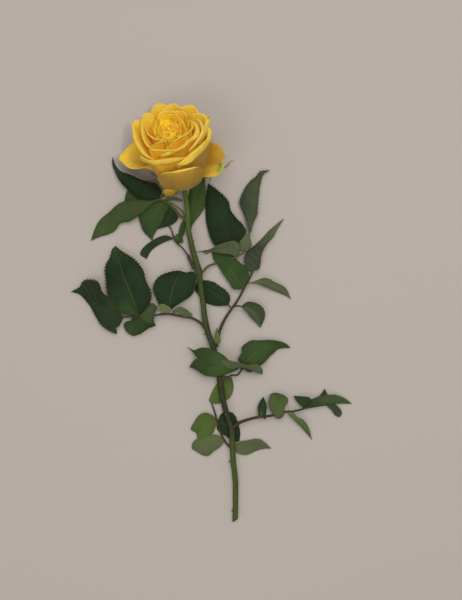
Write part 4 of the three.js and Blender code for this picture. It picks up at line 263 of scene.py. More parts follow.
class Build:
    """Collects sheets and tubes into one mesh with UVs and point values."""

    def __init__(self):
        self.v, self.f, self.m = [], [], []
        self.uv, self.under, self.tone, self.edge = [], [], [], []
        self.n = 0

    def points(self, p, uv, under, tone, edge):
        k = len(p)
        self.v.append(p)
        self.uv.append(uv)
        self.under.append(np.full(k, float(under)) if np.isscalar(under) else under)
        self.tone.append(np.full(k, float(tone)) if np.isscalar(tone) else tone)
        self.edge.append(np.full(k, float(edge)) if np.isscalar(edge) else edge)
        start = self.n
        self.n += k
        return start

    def sheet(self, g, half, mat, tone, edge, flip=False, under_extra=None, uv=None, tone_low=None,
              painted_sheen=0.0):
        """A closed thin shell round the grid g (nj, ni, 3); half is half its
        thickness at each place."""
        nj, ni = g.shape[:2]
        du = np.gradient(g, axis=1)
        dv = np.gradient(g, axis=0)
        n = unit(np.cross(du, dv))
        if n[..., 2].mean() < 0:
            n = -n
            turned = True
        else:
            turned = False
        half = np.broadcast_to(half, (nj, ni))[..., None]
        top = g + n * half
        bot = g - n * (half + (under_extra[..., None] if under_extra is not None else 0))
        if uv is None:
            U, V = np.meshgrid(np.linspace(0, 1, ni), np.linspace(0, 1, nj))
            uv = np.stack([U, V], -1)
        e = np.broadcast_to(edge, (nj, ni)).reshape(-1)
        t = np.broadcast_to(tone, (nj, ni)).reshape(-1)
        t2 = t if tone_low is None else np.broadcast_to(tone_low, (nj, ni)).reshape(-1)
        # the top face takes the painted sheen as its under value, unless the sheet is turned over
        a = self.points(top.reshape(-1, 3), uv.reshape(-1, 2), 1.0 if flip else
                        np.broadcast_to(painted_sheen, (nj, ni)).reshape(-1), t, e)
        b = self.points(bot.reshape(-1, 3), uv.reshape(-1, 2), 0.0 if flip else 1.0, t2, e)
        J, I = np.meshgrid(np.arange(nj - 1), np.arange(ni - 1), indexing="ij")
        q = (J * ni + I).reshape(-1)
        up = np.stack([q, q + 1, q + ni + 1, q + ni], -1)
        if turned:
            up = up[:, ::-1]
        faces = [up + a, up[:, ::-1] + b]
        ring = ([(0, i) for i in range(ni)] + [(j, ni - 1) for j in range(1, nj)]
                + [(nj - 1, i) for i in range(ni - 2, -1, -1)] + [(j, 0) for j in range(nj - 2, 0, -1)])
        r = np.array([j * ni + i for j, i in ring])
        r2 = np.roll(r, -1)
        side = np.stack([r + a, r + b, r2 + b, r2 + a], -1)
        if turned:
            side = side[:, ::-1]
        faces.append(side)
        faces = np.vstack(faces)
        self.f.append(faces)
        self.m.append(np.full(len(faces), mat))

    def tube(self, line, radii, sides, mat, tone, squash=1.0, wave=None):
        """A closed tube of changing radius; its UV runs round and along."""
        n = len(line)
        t = unit(np.gradient(line, axis=0))
        ups = []
        up = np.array([0.0, 0, 1])
        for i in range(n):
            up = up - (up @ t[i]) * t[i]
            up = up / max(np.linalg.norm(up), 1e-9)
            ups.append(up)
        ups = np.array(ups)
        side = np.cross(t, ups)
        f = np.linspace(0, 2 * np.pi, sides, endpoint=False)
        r = np.asarray(radii)[:, None] * np.ones(sides)[None]
        if wave is not None:
            r = r * (1 + wave(np.linspace(0, 1, n)[:, None], f[None] / (2 * np.pi)))
        p = (line[:, None] + side[:, None] * (np.cos(f)[None, :, None] * r[..., None])
             + ups[:, None] * (np.sin(f)[None, :, None] * r[..., None] * squash))
        run = np.concatenate([[0], np.cumsum(np.linalg.norm(np.diff(line, axis=0), axis=1))])
        uv = np.stack(np.meshgrid(f / (2 * np.pi), run / 10.0), -1)
        tt = np.broadcast_to(np.asarray(tone).reshape(-1, 1), (n, sides)).reshape(-1)
        a = self.points(p.reshape(-1, 3), uv.reshape(-1, 2), 0.0, tt, 0.0)
        J, I = np.meshgrid(np.arange(n - 1), np.arange(sides), indexing="ij")
        q = (J * sides + I).reshape(-1)
        q2 = (J * sides + (I + 1) % sides).reshape(-1)
        faces = np.stack([q, q2, q2 + sides, q + sides], -1) + a
        self.f.append(faces)
        self.m.append(np.full(len(faces), mat))
        for end, centre, turn in ((0, line[0], True), (n - 1, line[-1], False)):
            c = self.points(centre[None], np.array([[0.5, 0.5]]), 0.0, float(np.asarray(tone).reshape(-1)[0 if end == 0 else -1]), 0.0)
            ring = a + end * sides + np.arange(sides)
            nxt = np.roll(ring, -1)
            tri = np.stack([np.full(sides, c), nxt, ring] if turn else [np.full(sides, c), ring, nxt], -1)
            self.f.append(tri)
            self.m.append(np.full(len(tri), mat))

    def slant(self, end, away, way, share, reach):
        """Shears the end of a tube, so that its cut is not square."""
        for p in self.v:
            inside = np.clip(1 - ((p - end) @ -away) / reach, 0, 1)
            near = np.linalg.norm(p - end, axis=1) < reach * 1.5
            p += away * (share * ((p - end) @ way) * inside ** 2 * near)[:, None]
            np.maximum(p[:, 2], 0.03, out=p[:, 2])

    def make(self, name, materials):
        v = np.vstack(self.v)
        s = (VIEW_HEIGHT - v[:, 2]) / 1000
        across = (v[:, 0] - CENTRE[0]) / s + DRAWING[0]
        down = DRAWING[1] - (v[:, 1] - CENTRE[1]) / s
        tip = np.clip((across - 215.6) / 3.0, 0, 1) * np.clip((down - 160.4) / 3.0, 0, 1)
        spot = sum(np.clip(1.6 - np.hypot(across - cx, down - cy) / r, 0, 1)
                   for cx, cy, r in ((208.4, 117.6, 0.9), (206.2, 114.8, 0.6), (212.2, 136.6, 0.9)))
        if name.startswith("petal_roll_front_left"):
            # painted shade: a brown wedge low on the left, under the roll, added to the spot value
            line = 153.5 + (down - 163.0) * 0.9
            spot = spot + 0.45 * np.clip((line - across + 1.2) / 2.4, 0, 1) * np.clip((down - 163.2) / 1.6, 0, 1)
        v = v + SHIFT
        faces = [tuple(int(i) for i in row) for block in self.f for row in block]
        mesh = bpy.data.meshes.new(name)
        mesh.from_pydata((v / 1000.0).tolist(), [], faces)
        mesh.update()
        mats = np.concatenate(self.m).astype(np.int32)
        mesh.polygons.foreach_set("material_index", mats)
        mesh.polygons.foreach_set("use_smooth", np.ones(len(faces), dtype=bool))
        uv = np.vstack(self.uv)
        loops = np.empty(len(mesh.loops), dtype=np.int32)
        mesh.loops.foreach_get("vertex_index", loops)
        layer = mesh.uv_layers.new(name="UVMap")
        layer.data.foreach_set("uv", uv[loops].astype(np.float32).reshape(-1))
        for key, vals in (("under", self.under), ("tone", self.tone), ("edge", self.edge),
                          ("tip", [tip]), ("spot", [spot])):
            at = mesh.attributes.new(key, "FLOAT", "POINT")
            at.data.foreach_set("value", np.concatenate(vals).astype(np.float32))
        ob = bpy.data.objects.new(name, mesh)
        bpy.context.scene.collection.objects.link(ob)
        for m in materials:
            mesh.materials.append(m)
        return ob


# ---- materials ------------------------------------------------------------
def srgb(r, g, b):
    def lin(c):
        c /= 255.0
        return c / 12.92 if c <= 0.04045 else ((c + 0.055) / 1.055) ** 2.4
    return (lin(r), lin(g), lin(b), 1.0)


class Graph:
    """Short calls for making node materials."""

    def __init__(self, name):
        self.mat = bpy.data.materials.new(name)
        self.mat.use_nodes = True
        self.t = self.mat.node_tree
        self.t.nodes.clear()
        self.out = self.t.nodes.new("ShaderNodeOutputMaterial")
        self.bsdf = self.t.nodes.new("ShaderNodeBsdfPrincipled")
        self.t.links.new(self.bsdf.outputs[0], self.out.inputs[0])

    def node(self, kind, **values):
        n = self.t.nodes.new(kind)
        for k, val in values.items():
            setattr(n, k, val)
        return n

    def link(self, a, b):
        self.t.links.new(a, b)

    def attribute(self, name):
        n = self.node("ShaderNodeAttribute", attribute_name=name)
        return n.outputs["Fac"]

    def math(self, op, a, b=None, clamp=False):
        n = self.node("ShaderNodeMath", operation=op, use_clamp=clamp)
        for i, val in enumerate((a, b)):
            if val is None:
                continue
            if isinstance(val, (int, float)):
                n.inputs[i].default_value = val
            else:
                self.link(val, n.inputs[i])
        return n.outputs[0]

    def ramp(self, value, stops):
        n = self.node("ShaderNodeValToRGB")
        els = n.color_ramp.elements
        els[0].position, els[0].color = stops[0]
        els[1].position, els[1].color = stops[-1]
        for pos, col in stops[1:-1]:
            e = els.new(pos)
            e.color = col
        self.link(value, n.inputs[0])
        return n.outputs[0]

    def mix(self, fac, a, b, mode="MIX"):
        n = self.node("ShaderNodeMix", data_type="RGBA", blend_type=mode)
        for sock, val in ((n.inputs[0], fac), (n.inputs[6], a), (n.inputs[7], b)):
            if isinstance(val, (int, float)):
                sock.default_value = val
            elif isinstance(val, tuple):
                sock.default_value = val
            else:
                self.link(val, sock)
        return n.outputs[2]

    def noise(self, vector, scale, detail=3.0, rough=0.5, dist=0.0):
        n = self.node("ShaderNodeTexNoise")
        n.inputs["Scale"].default_value = scale
        n.inputs["Detail"].default_value = detail
        n.inputs["Roughness"].default_value = rough
        n.inputs["Distortion"].default_value = dist
        self.link(vector, n.inputs["Vector"])
        return n.outputs[0]

    def stretch(self, vector, sx, sy, sz):
        n = self.node("ShaderNodeMapping")
        n.inputs["Scale"].default_value = (sx, sy, sz)
        self.link(vector, n.inputs["Vector"])
        return n.outputs[0]

    def bump(self, height, strength, distance, after=None):
        n = self.node("ShaderNodeBump")
        n.inputs["Strength"].default_value = strength
        n.inputs["Distance"].default_value = distance
        self.link(height, n.inputs["Height"])
        if after is not None:
            self.link(after, n.inputs["Normal"])
        return n.outputs[0]


def petal_material(name, rim, body, deep, shade, rim_pale_and_highlight, soft, tip=False, painted_emission=0.0):
    g = Graph(name)
    co = g.node("ShaderNodeTexCoord")
    uvv, obj = co.outputs["UV"], co.outputs["Object"]
    tone, edge = g.attribute("tone"), g.attribute("edge")
    under = g.attribute("under")
    blotch = g.noise(obj, 90.0, 4.0, 0.6)
    fine = g.noise(g.stretch(uvv, 70.0, 3.0, 1.0), 1.0, 4.0, 0.6, 0.4)
    depth = g.math("ADD", tone, g.math("MULTIPLY", g.math("SUBTRACT", blotch, 0.5), 0.22), clamp=True)
    base = g.ramp(depth, [(0.0, deep), (0.38, body), (0.80, rim), (1.0, rim)])
    base = g.mix(g.math("MULTIPLY", under, shade), base, srgb(196, 158, 62))
    veins = g.ramp(fine, [(0.30, (0.90, 0.87, 0.80, 1)), (0.62, (1, 1, 1, 1))])
    base = g.mix(0.55, base, veins, "MULTIPLY")
    # the rim and the rolled lip are paler: partly the petal's own paler rim, partly a painted highlight
    pale = g.mix(g.math("MULTIPLY", edge, rim_pale_and_highlight), base, srgb(236, 208, 96))
    # brown spots, and the painted shade under the front-left roll, both carried in the spot value
    pale = g.mix(g.math("MINIMUM", g.attribute("spot"), 0.85), pale, srgb(104, 62, 30))
    if tip:
        # green and white streaks near the rim of the lowest hanging petal
        mask = g.attribute("tip")
        streaks = g.ramp(g.noise(g.stretch(uvv, 2.5, 30.0, 1.0), 1.0, 3.0, 0.6, 0.2),
                         [(0.36, srgb(84, 104, 30)), (0.50, srgb(146, 148, 46)), (0.66, srgb(208, 202, 116))])
        pale = g.mix(mask, pale, streaks)
    g.link(pale, g.bsdf.inputs["Base Color"])
    if painted_emission:
        # painted light: the petals give out a little light of their own colour, as if light shone into the thin petals,
        # most of it deep between them
        g.link(base, g.bsdf.inputs["Emission Color"])
        g.link(g.math("MULTIPLY", g.math("SUBTRACT", 1.1, depth, clamp=True), painted_emission), g.bsdf.inputs["Emission Strength"])
    g.bsdf.inputs["Roughness"].default_value = 0.55
    g.bsdf.inputs["Specular IOR Level"].default_value = 0.20
    g.bsdf.inputs["Sheen Weight"].default_value = 0.04
    g.bsdf.inputs["Sheen Roughness"].default_value = 0.5
    g.bsdf.inputs["Subsurface Weight"].default_value = 0.85
    g.bsdf.inputs["Subsurface Radius"].default_value = (0.0026, 0.0030, 0.0011)
    g.bsdf.inputs["Subsurface Scale"].default_value = soft
    first = g.bump(fine, 0.28, 0.0005)
    second = g.bump(g.noise(obj, 260.0, 5.0, 0.65), 0.16, 0.0004, first)
    g.link(second, g.bsdf.inputs["Normal"])
    return g.mat


def leaf_material():
    g = Graph("leaf_blade")
    co = g.node("ShaderNodeTexCoord")
    uvv, obj = co.outputs["UV"], co.outputs["Object"]
    tone, under, edge = g.attribute("tone"), g.attribute("under"), g.attribute("edge")
    sep = g.node("ShaderNodeSeparateXYZ")
    g.link(uvv, sep.inputs[0])
    u, v = sep.outputs[0], sep.outputs[1]
    side = g.math("ABSOLUTE", g.math("SUBTRACT", u, 0.5))          # 0 midrib, 0.5 margin
    # side veins run forward from the midrib: bands of v minus a share of side
    along = g.math("SUBTRACT", v, g.math("MULTIPLY", g.math("POWER", side, 0.85), 0.42))
    wob = g.math("MULTIPLY", g.math("SUBTRACT", g.noise(obj, 70.0, 2.0), 0.5), 0.05)
    band = g.math("MULTIPLY", g.math("ADD", along, wob), 9.0)
    tri = g.math("ABSOLUTE", g.math("SUBTRACT", g.math("FRACT", band), 0.5))
    vein = g.math("SUBTRACT", 1.0, g.math("MULTIPLY", tri, 11.0), clamp=True)
    vein = g.math("MULTIPLY", vein, g.math("SUBTRACT", 1.0, g.math("MULTIPLY", side, 1.5), clamp=True))
    rib = g.math("SUBTRACT", 1.0, g.math("MULTIPLY", side, 84.0), clamp=True)
    rib = g.math("MULTIPLY", rib, g.math("SUBTRACT", 1.05, g.math("MULTIPLY", v, 0.85), clamp=True))
    mesh = g.node("ShaderNodeTexVoronoi", feature="DISTANCE_TO_EDGE")
    mesh.inputs["Scale"].default_value = 520.0
    g.link(obj, mesh.inputs["Vector"])
    net = g.math("SUBTRACT", 1.0, g.math("MULTIPLY", mesh.outputs[0], 9.0), clamp=True)
    patch = g.noise(obj, 55.0, 4.0, 0.6)
    broad = g.noise(obj, 24.0, 2.0, 0.5)
    t = g.math("ADD", tone, g.math("MULTIPLY", g.math("SUBTRACT", patch, 0.5), 0.14), clamp=True)
    t = g.math("ADD", t, g.math("MULTIPLY", g.math("SUBTRACT", broad, 0.46), 0.55), clamp=True)
    top = g.ramp(t, [(0.0, srgb(18, 31, 13)), (0.25, srgb(29, 47, 21)), (0.5, srgb(52, 70, 31)), (1.0, srgb(98, 110, 48))])
    top = g.mix(g.math("MULTIPLY", net, 0.10), top, srgb(66, 88, 46))
    top = g.mix(g.math("MULTIPLY", vein, 0.10), top, srgb(80, 102, 56))
    low = g.ramp(t, [(0.0, srgb(47, 55, 41)), (0.5, srgb(88, 97, 62)), (1.0, srgb(118, 122, 84))])
    low = g.mix(g.math("MULTIPLY", vein, 0.25), low, srgb(122, 132, 96))
    # the lighter underside colour, which on the top face also carries the painted sheen
    base = g.mix(under, top, low)
    base = g.mix(g.math("MULTIPLY", rib, 0.55), base, srgb(110, 126, 58))
    worn = g.ramp(g.noise(obj, 420.0, 3.0, 0.7), [(0.66, (0, 0, 0, 1)), (0.78, (1, 1, 1, 1))])
    base = g.mix(g.math("MULTIPLY", worn, 0.10), base, srgb(120, 112, 60))
    base = g.mix(g.math("MULTIPLY", edge, 0.30), base, srgb(96, 92, 46))
    g.link(base, g.bsdf.inputs["Base Color"])
    rough = g.math("ADD", 0.58, g.math("MULTIPLY", under, 0.22))
    g.link(g.math("ADD", rough, g.math("MULTIPLY", patch, 0.10)), g.bsdf.inputs["Roughness"])
    g.bsdf.inputs["Specular IOR Level"].default_value = 0.10
    g.bsdf.inputs["Subsurface Weight"].default_value = 0.06
    g.bsdf.inputs["Subsurface Radius"].default_value = (0.0012, 0.0022, 0.0006)
    g.bsdf.inputs["Subsurface Scale"].default_value = 0.5
    one = g.bump(g.math("ADD", g.math("MULTIPLY", vein, -1.0), g.math("MULTIPLY", rib, -1.2)), 0.45, 0.0006)
    two = g.bump(net, 0.14, 0.0003, one)
    three = g.bump(patch, 0.22, 0.0010, two)
    g.link(three, g.bsdf.inputs["Normal"])
    return g.mat


def stalk_material(name, dark, light, warm, share, toward=srgb(84, 50, 30), painted_light_green=None):
    g = Graph(name)
    co = g.node("ShaderNodeTexCoord")
    obj, uvv = co.outputs["Object"], co.outputs["UV"]
    tone = g.attribute("tone")
    streak = g.noise(g.stretch(uvv, 26.0, 0.9, 1.0), 1.0, 5.0, 0.65, 0.3)
    patch = g.noise(obj, 48.0, 4.0, 0.6)
    base = g.mix(g.ramp(streak, [(0.35, (0, 0, 0, 1)), (0.65, (1, 1, 1, 1))]), dark, light)
    base = g.mix(g.math("MULTIPLY", g.ramp(patch, [(0.45, (0, 0, 0, 1)), (0.72, (1, 1, 1, 1))]), share), base, warm)
    if painted_light_green is not None:
        # painted light: a lighter, fresher green on the stem just under the bloom, where the bloom shades it
        sep = g.node("ShaderNodeSeparateXYZ")
        g.link(obj, sep.inputs[0])
        painted_light_near_bloom = g.math("MULTIPLY", g.math("SUBTRACT", sep.outputs[1], 0.070), 22.0, clamp=True)
        base = g.mix(g.math("MULTIPLY", painted_light_near_bloom, 0.75), base, painted_light_green)
    base = g.mix(tone, base, toward)
    spots = g.ramp(g.noise(obj, 900.0, 2.0, 0.5), [(0.64, (0, 0, 0, 1)), (0.72, (1, 1, 1, 1))])
    base = g.mix(g.math("MULTIPLY", spots, 0.35), base, srgb(146, 148, 92))
    g.link(base, g.bsdf.inputs["Base Color"])
    g.bsdf.inputs["Roughness"].default_value = 0.55
    g.bsdf.inputs["Specular IOR Level"].default_value = 0.13
    g.bsdf.inputs["Subsurface Weight"].default_value = 0.05
    g.bsdf.inputs["Subsurface Radius"].default_value = (0.001, 0.0018, 0.0005)
    g.bsdf.inputs["Subsurface Scale"].default_value = 0.5
    one = g.bump(streak, 0.35, 0.0006)
    g.link(g.bump(spots, 0.3, 0.0003, one), g.bsdf.inputs["Normal"])
    return g.mat


def cut_material():
    g = Graph("stem_cut")
    co = g.node("ShaderNodeTexCoord")
    n = g.noise(co.outputs["Object"], 900.0, 4.0, 0.6)
    g.link(g.ramp(n, [(0.3, srgb(44, 36, 24)), (0.7, srgb(84, 74, 46))]), g.bsdf.inputs["Base Color"])
    g.bsdf.inputs["Roughness"].default_value = 0.8
    g.link(g.bump(n, 0.5, 0.0005), g.bsdf.inputs["Normal"])
    return g.mat


PETAL = petal_material("petal_cup", srgb(213, 170, 52), srgb(226, 168, 38), srgb(230, 152, 26), 0.06, 0.20, 0.8, painted_emission=0.09)
PETAL_LIP = petal_material("petal_lip", srgb(204, 164, 48), srgb(228, 168, 38), srgb(230, 152, 26), 0.06, 0.10, 0.8, painted_emission=0.09)
PETAL_ROLL = petal_material("petal_roll", srgb(204, 164, 48), srgb(212, 154, 36), srgb(204, 132, 24), 0.06, 0.10, 0.8)
PETAL_HEART = petal_material("petal_heart", srgb(255, 203, 34), srgb(255, 192, 26), srgb(253, 178, 18), 0.0, 0.06, 3.0, painted_emission=0.08)
PETAL_GUARD = petal_material("petal_guard", srgb(218, 174, 50), srgb(144, 107, 28), srgb(114, 84, 21), 0.25, 0.12, 0.8)
# painted shade: darker guard colours for the upper right guard petal, which lies in shade
PETAL_PAINTED_SHADE = petal_material("petal_painted_shade", srgb(170, 131, 37), srgb(165, 125, 35), srgb(138, 102, 28), 0.20, 0.0, 0.6)
# painted light: the lower right guard's colours are set lighter against the shade it lies in; the green and white
# streaks near its tip are its own
PETAL_STREAK = petal_material("petal_streak", srgb(204, 166, 60), srgb(204, 166, 60), srgb(190, 152, 54), 0.20, 0.0, 0.6, True)
LEAF = leaf_material()
STALK = stalk_material("leaf_stalk", srgb(36, 37, 16), srgb(54, 55, 24), srgb(56, 40, 23), 0.5, srgb(58, 38, 22))
STALK_GREEN = stalk_material("leaf_stalk_green", srgb(58, 62, 26), srgb(86, 88, 38), srgb(74, 62, 30), 0.4, srgb(64, 50, 26))
STEM_MAT = stalk_material("stem_skin", srgb(40, 52, 21), srgb(68, 80, 35), srgb(66, 62, 31), 0.35, srgb(24, 26, 14), srgb(84, 108, 36))
SEPAL_DRY = stalk_material("sepal_dry", srgb(140, 108, 34), srgb(184, 146, 48), srgb(112, 78, 34), 0.5)
THORN_MAT = stalk_material("thorn_skin", srgb(70, 42, 28), srgb(104, 66, 40), srgb(60, 32, 24), 0.6)
SEPAL_MAT = stalk_material("sepal_skin", srgb(92, 104, 46), srgb(132, 138, 62), srgb(150, 122, 56), 0.5)
CUT = cut_material()


# ---- leaves ---------------------------------------------------------------
# how far the teeth of each leaf stand out, in millimetres
TEETH = {"i": 1.45, "n": 1.0, "o": 1.6, "j": 1.3, "k": 1.0, "b": 0.8, "h": 0.5, "m2": 1.0, "z": 0.4, "aa": 0.4,
         "ab": 0.4, "bud": 0.1, "y": 0.3, "a": 0.3}


# painted sheen: how much pale sheen of light is painted on the face of some leaflets, by mixing the top toward the
# lighter underside colour; and how faint the midrib is
PAINTED_SHEEN = {"k": 0.45, "aj": 0.35, "ah": 0.40, "ag": 0.12, "h": 0.25, "j": 0.12, "lobe": 0.2, "u": 0.9, "a": 0.5, "b": 0.15}
FAINT_RIB = {"j": 0.014, "h": 0.014, "n": 0.005, "o": 0.008, "a": 0.010, "y": 0.010, "q": 0.008, "p": 0.008}


def leaflet(b, ident, mid, ea, eb, bend, seed):
    base, tip = mid[0], mid[-1]
    length = float(np.sum(np.linalg.norm(np.diff(place(np.array(mid)), axis=0), axis=1)))
    teeth = max(6, int(round(length / 3.0)))
    per = 4
    nv = teeth * per
    ts = np.linspace(0, 1, nv + 1)
    M = resample(mid, ts)
    flat = lambda e: [[base[0], base[1], 0.0]] + [[p[0], p[1], 0.0] for p in e] + [[tip[0], tip[1], 0.0]]
    A = resample(flat(ea), ts)
    B = resample(flat(eb), ts)
    swell = np.sin(np.pi * ts) ** 0.7
    m = place(M)
    A[:, 2] = M[:, 2] + bend[0] * swell
    B[:, 2] = M[:, 2] + bend[1] * swell
    a, c = place(A), place(B)
    wob = wobble(seed)
    # keep a little width at both ends
    across = unit(c - a + 1e-6)
    across[0], across[-1] = across[2], across[-3]
    for e, s in ((a, -1.0), (c, 1.0)):
        for j, w in ((0, 0.55), (nv, 0.12)):
            e[j] = m[j] + s * across[j] * w
    # teeth point forward
    x = np.arange(nv + 1) % per
    saw = np.array([0.0, 0.35, 0.75, 1.0])[x]
    t_hat = unit(np.gradient(m, axis=0))
    rng = np.random.default_rng(seed + 3)
    own = np.repeat(rng.uniform(0.65, 1.25, teeth + 1), per)[:nv + 1]
    amp = TEETH.get(ident, 0.7) * own * np.clip(length / 50.0, 0.5, 1.0) * np.clip(np.sin(np.pi * ts) * 2.6, 0, 1)
    edge_z = 0.5 * wob(ts * 3.0, 0.3 + 0 * ts) * swell
    out_a, out_c = unit(a - m), unit(c - m)
    a = a + out_a * ((saw - 0.35) * amp)[:, None] + t_hat * (saw * amp * 0.5)[:, None]
    c = c + out_c * ((saw - 0.35) * amp)[:, None] + t_hat * (saw * amp * 0.5)[:, None]
    a[0], c[0], a[-1], c[-1] = m[0] - across[0] * 0.55, m[0] + across[0] * 0.55, m[-1] - across[-1] * 0.12, m[-1] + across[-1] * 0.12
    half_cols = 9
    us = np.concatenate([-np.linspace(1, 0, half_cols + 1)[:-1] ** 0.9, np.linspace(0, 1, half_cols + 1) ** 0.9])
    g = np.empty((nv + 1, len(us), 3))
    wide = np.linalg.norm(c - a, axis=1)
    for i, u in enumerate(us):
        s = abs(u)
        end = a if u < 0 else c
        p = m * (1 - s) + end * s
        # quilting between the side veins, and a groove along the midrib
        ph = 2 * np.pi * 9.0 * (ts - 0.42 * (s * 0.5) ** 0.85)
        quilt = 0.22 * np.cos(ph) * s * (1 - s) * 4 * swell * np.clip(length / 60, 0.3, 1)
        groove = -0.35 * np.exp(-((s * wide / 2) / 1.1) ** 2) * swell
        p[:, 2] += bend[2] * 4 * s * (1 - s) * swell + quilt + groove
        p[:, 2] += s ** 2 * edge_z * 1.3 + 0.35 * wob(ts * 1.7, u * 0.6 + 0 * ts) * swell
        g[:, i] = p
    clamp_floor(g)
    S = np.abs(us)[None] * np.ones((nv + 1, 1))
    half = 0.17 - 0.10 * S ** 6
    extra = 0.42 * np.exp(-((S * wide[:, None] / 2) / 0.7) ** 2) * (1 - 0.6 * ts[:, None])
    off = FAINT_RIB.get(ident, 0.0)
    ucol = us * 0.5 + 0.5 if off == 0.0 else 0.5 + off + (0.5 - off) * np.abs(us)
    uv = np.stack([np.broadcast_to(ucol[None], S.shape), np.broadcast_to(ts[:, None], S.shape)], -1)
    tone, under = LOOK[ident]
    # painted sheen: where on each leaflet's top face the sheen of glancing light is painted
    painted_sheen = np.full(S.shape, PAINTED_SHEEN.get(ident, 0.0))
    if ident == "u":
        painted_sheen = painted_sheen * np.clip(0.72 + us * 1.6, 0.45, 1)[None]
    if ident == "a":
        painted_sheen = painted_sheen * np.clip(ts * 4 - 2.4, 0, 1)[:, None]
    if ident == "s":
        tone = np.clip(tone - 0.08 + 0.42 * np.clip(ts * 1.6 - 0.6, 0, 1), 0, 1)[:, None] * np.ones_like(S)
    if ident == "aj":
        tone = np.clip(tone - 0.24 * np.clip(1 - ts * 2.2, 0, 1), 0, 1)[:, None] * np.ones_like(S)
        painted_sheen = painted_sheen * np.clip(ts * 2.5, 0, 1)[:, None]
    if ident == "k":
        painted_sheen = painted_sheen * np.clip(us * 4 + 0.4, 0, 1)[None]
    if ident == "i":
        # pale near the tip and low on the left, dark along the right side
        tone = (tone - 0.06 + 0.14 * np.clip(ts * 3 - 2.1, 0, 1)[:, None]
                + 0.22 * np.clip(-us * 4 - 0.2, 0, 1)[None] * np.clip(1.6 - ts * 4.5, 0, 1)[:, None]
                - 0.10 * np.clip(us * 4, 0, 1)[None])
        tone = np.clip(tone, 0.0, 1.0)
    edge = np.clip((S - 0.93) / 0.07, 0, 1) * 0.8
    b.sheet(g, half, 0, tone, edge, flip=bool(under), under_extra=extra, uv=uv, painted_sheen=painted_sheen)


def stalk(b, points, ra, rb, seed, mat=1, tone=0.12, prickles=True):
    length = float(np.sum(np.linalg.norm(np.diff(place(np.array(points)), axis=0), axis=1)))
    n = max(6, int(length / 1.6))
    ts = np.linspace(0, 1, n + 1)
    q = resample(points, ts)
    rad = ra + (rb - ra) * ts ** 0.7
    q[:, 2] = np.maximum(q[:, 2], rad + 0.15)
    line = place(q)
    wob = wobble(seed)
    b.tube(line, rad * (1 + 0.06 * wob(ts * 4, 0.2 + 0 * ts)), 12, mat, tone + 0.14 * (1 - ts), squash=0.94)
    if prickles and length > 30:
        rng = np.random.default_rng(seed + 5)
        for t in np.arange(0.12, 0.9, 9.0 / length):
            j = int(t * n)
            way = unit(np.array([rng.uniform(-1, 1), rng.uniform(-1, 1), -0.5]))
            d = unit(line[min(j + 1, n)] - line[max(j - 1, 0)])
            way = unit(way - (way @ d) * d)
            p0 = line[j] + way * rad[j] * 0.6
            tipz = p0 + way * 1.5 - d * 0.7
            if tipz[2] < 0.5:
                continue
            pts = np.array([p0, p0 + way * 0.7 - d * 0.15, tipz])
            b.tube(pts, [0.55, 0.3, 0.06], 7, mat, 0.75)


pieces = []


def finish_piece(ob, node):
    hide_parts(node)
    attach(ob, "root")
    pieces.append(ob)


names = []
for row in RACHIS:
    if row[0] not in names:
        names.append(row[0])
for k, name in enumerate(names):
    b = Build()
    for i, (node, points, ra, rb) in enumerate(RACHIS):
        if node == name:
            stalk(b, points, ra, rb, 100 + 7 * k + i)
    for i, (node, ident, mid, ea, eb, bend) in enumerate(LEAFLETS):
        if node == name:
            leaflet(b, ident, mid, ea, eb, bend, 300 + i)
    finish_piece(b.make(name + "_fine", [LEAF, STALK_GREEN if name in ("leaf_upper_left", "leaf_upper_right") else STALK]), name)


# ---- stem and receptacle --------------------------------------------------
def stem_radius(y):
    ys = [r[0] for r in STEM_R][::-1]
    rs = [r[1] for r in STEM_R][::-1]
    return np.interp(y, ys, rs)


b = Build()
ts = np.linspace(0, 1, 260)
q = resample(STEM, ts)
line = place(q)
rad = stem_radius(q[:, 1])
wob = wobble(11)
b.tube(line, rad * (1 + 0.02 * wob(ts * 9, 0 * ts)), 28, 0,
       np.clip(0.10 * np.clip(wob(ts * 5, 0.4 + 0 * ts), 0, 1) + 0.72 * np.clip((446 - q[:, 1]) / 20, 0, 1) * np.clip((q[:, 1] - 300) / 50, 0.35, 1), 0, 1),
       wave=lambda t, f: 0.018 * np.sin(2 * np.pi * (5 * f + 2.0 * t)) + 0.012 * np.sin(2 * np.pi * (3 * f - 3 * t)))
for i, (px, py, turn, tall) in enumerate(THORNS):
    j = int(np.argmin(np.abs(q[:, 1] - py)))
    f = math.radians(turn)
    out = unit(np.array([math.cos(f), -0.25, math.sin(f) * 0.6]))
    d = unit(line[min(j + 1, 259)] - line[max(j - 1, 0)])
    r = rad[j]
    steps = np.linspace(0, 1, 9)
    pts = np.array([line[j] + out * (r - 0.9 + (tall + 0.9) * s) - d * (0.9 * s ** 2 * (1 if tall > 2.5 else 0.4)) for s in steps])
    wide = 1.75 * (1 - steps) ** 1.5 + 0.10
    b.tube(pts, wide, 14, 1, 0.55 + 0.3 * steps)
# the cut end: a pale ring and pith just inside the last ring of the skin
end = line[0]
away = unit(line[0] - line[3])
b.tube(np.array([end - away * 0.2, end + away * 0.10, end + away * 0.16]), [rad[0] * 0.90, rad[0] * 0.88, rad[0] * 0.4], 24, 2, 0.0)
b.slant(end, away, unit(np.array([-1.0, 0.0, -1.1])), 0.85, 9.0)
finish_piece(b.make("stem_fine", [STEM_MAT, THORN_MAT, CUT]), "stem")

b = Build()
hip = np.array([[-12.5, 2.95], [-11, 3.3], [-9.5, 4.3], [-7.5, 5.1], [-5, 5.6], [-2.5, 5.9], [-1, 6.1], [0.0, 6.1]])
hs = np.linspace(-12.5, 0.0, 26)
b.tube(in_bloom(np.stack([0 * hs, 0 * hs, hs], -1)), np.interp(hs, hip[:, 0], hip[:, 1]), 32, 0, 0.05,
       wave=lambda t, f: 0.03 * np.sin(2 * np.pi * 5 * f) * t)
finish_piece(b.make("receptacle_fine", [SEPAL_MAT]), "receptacle")

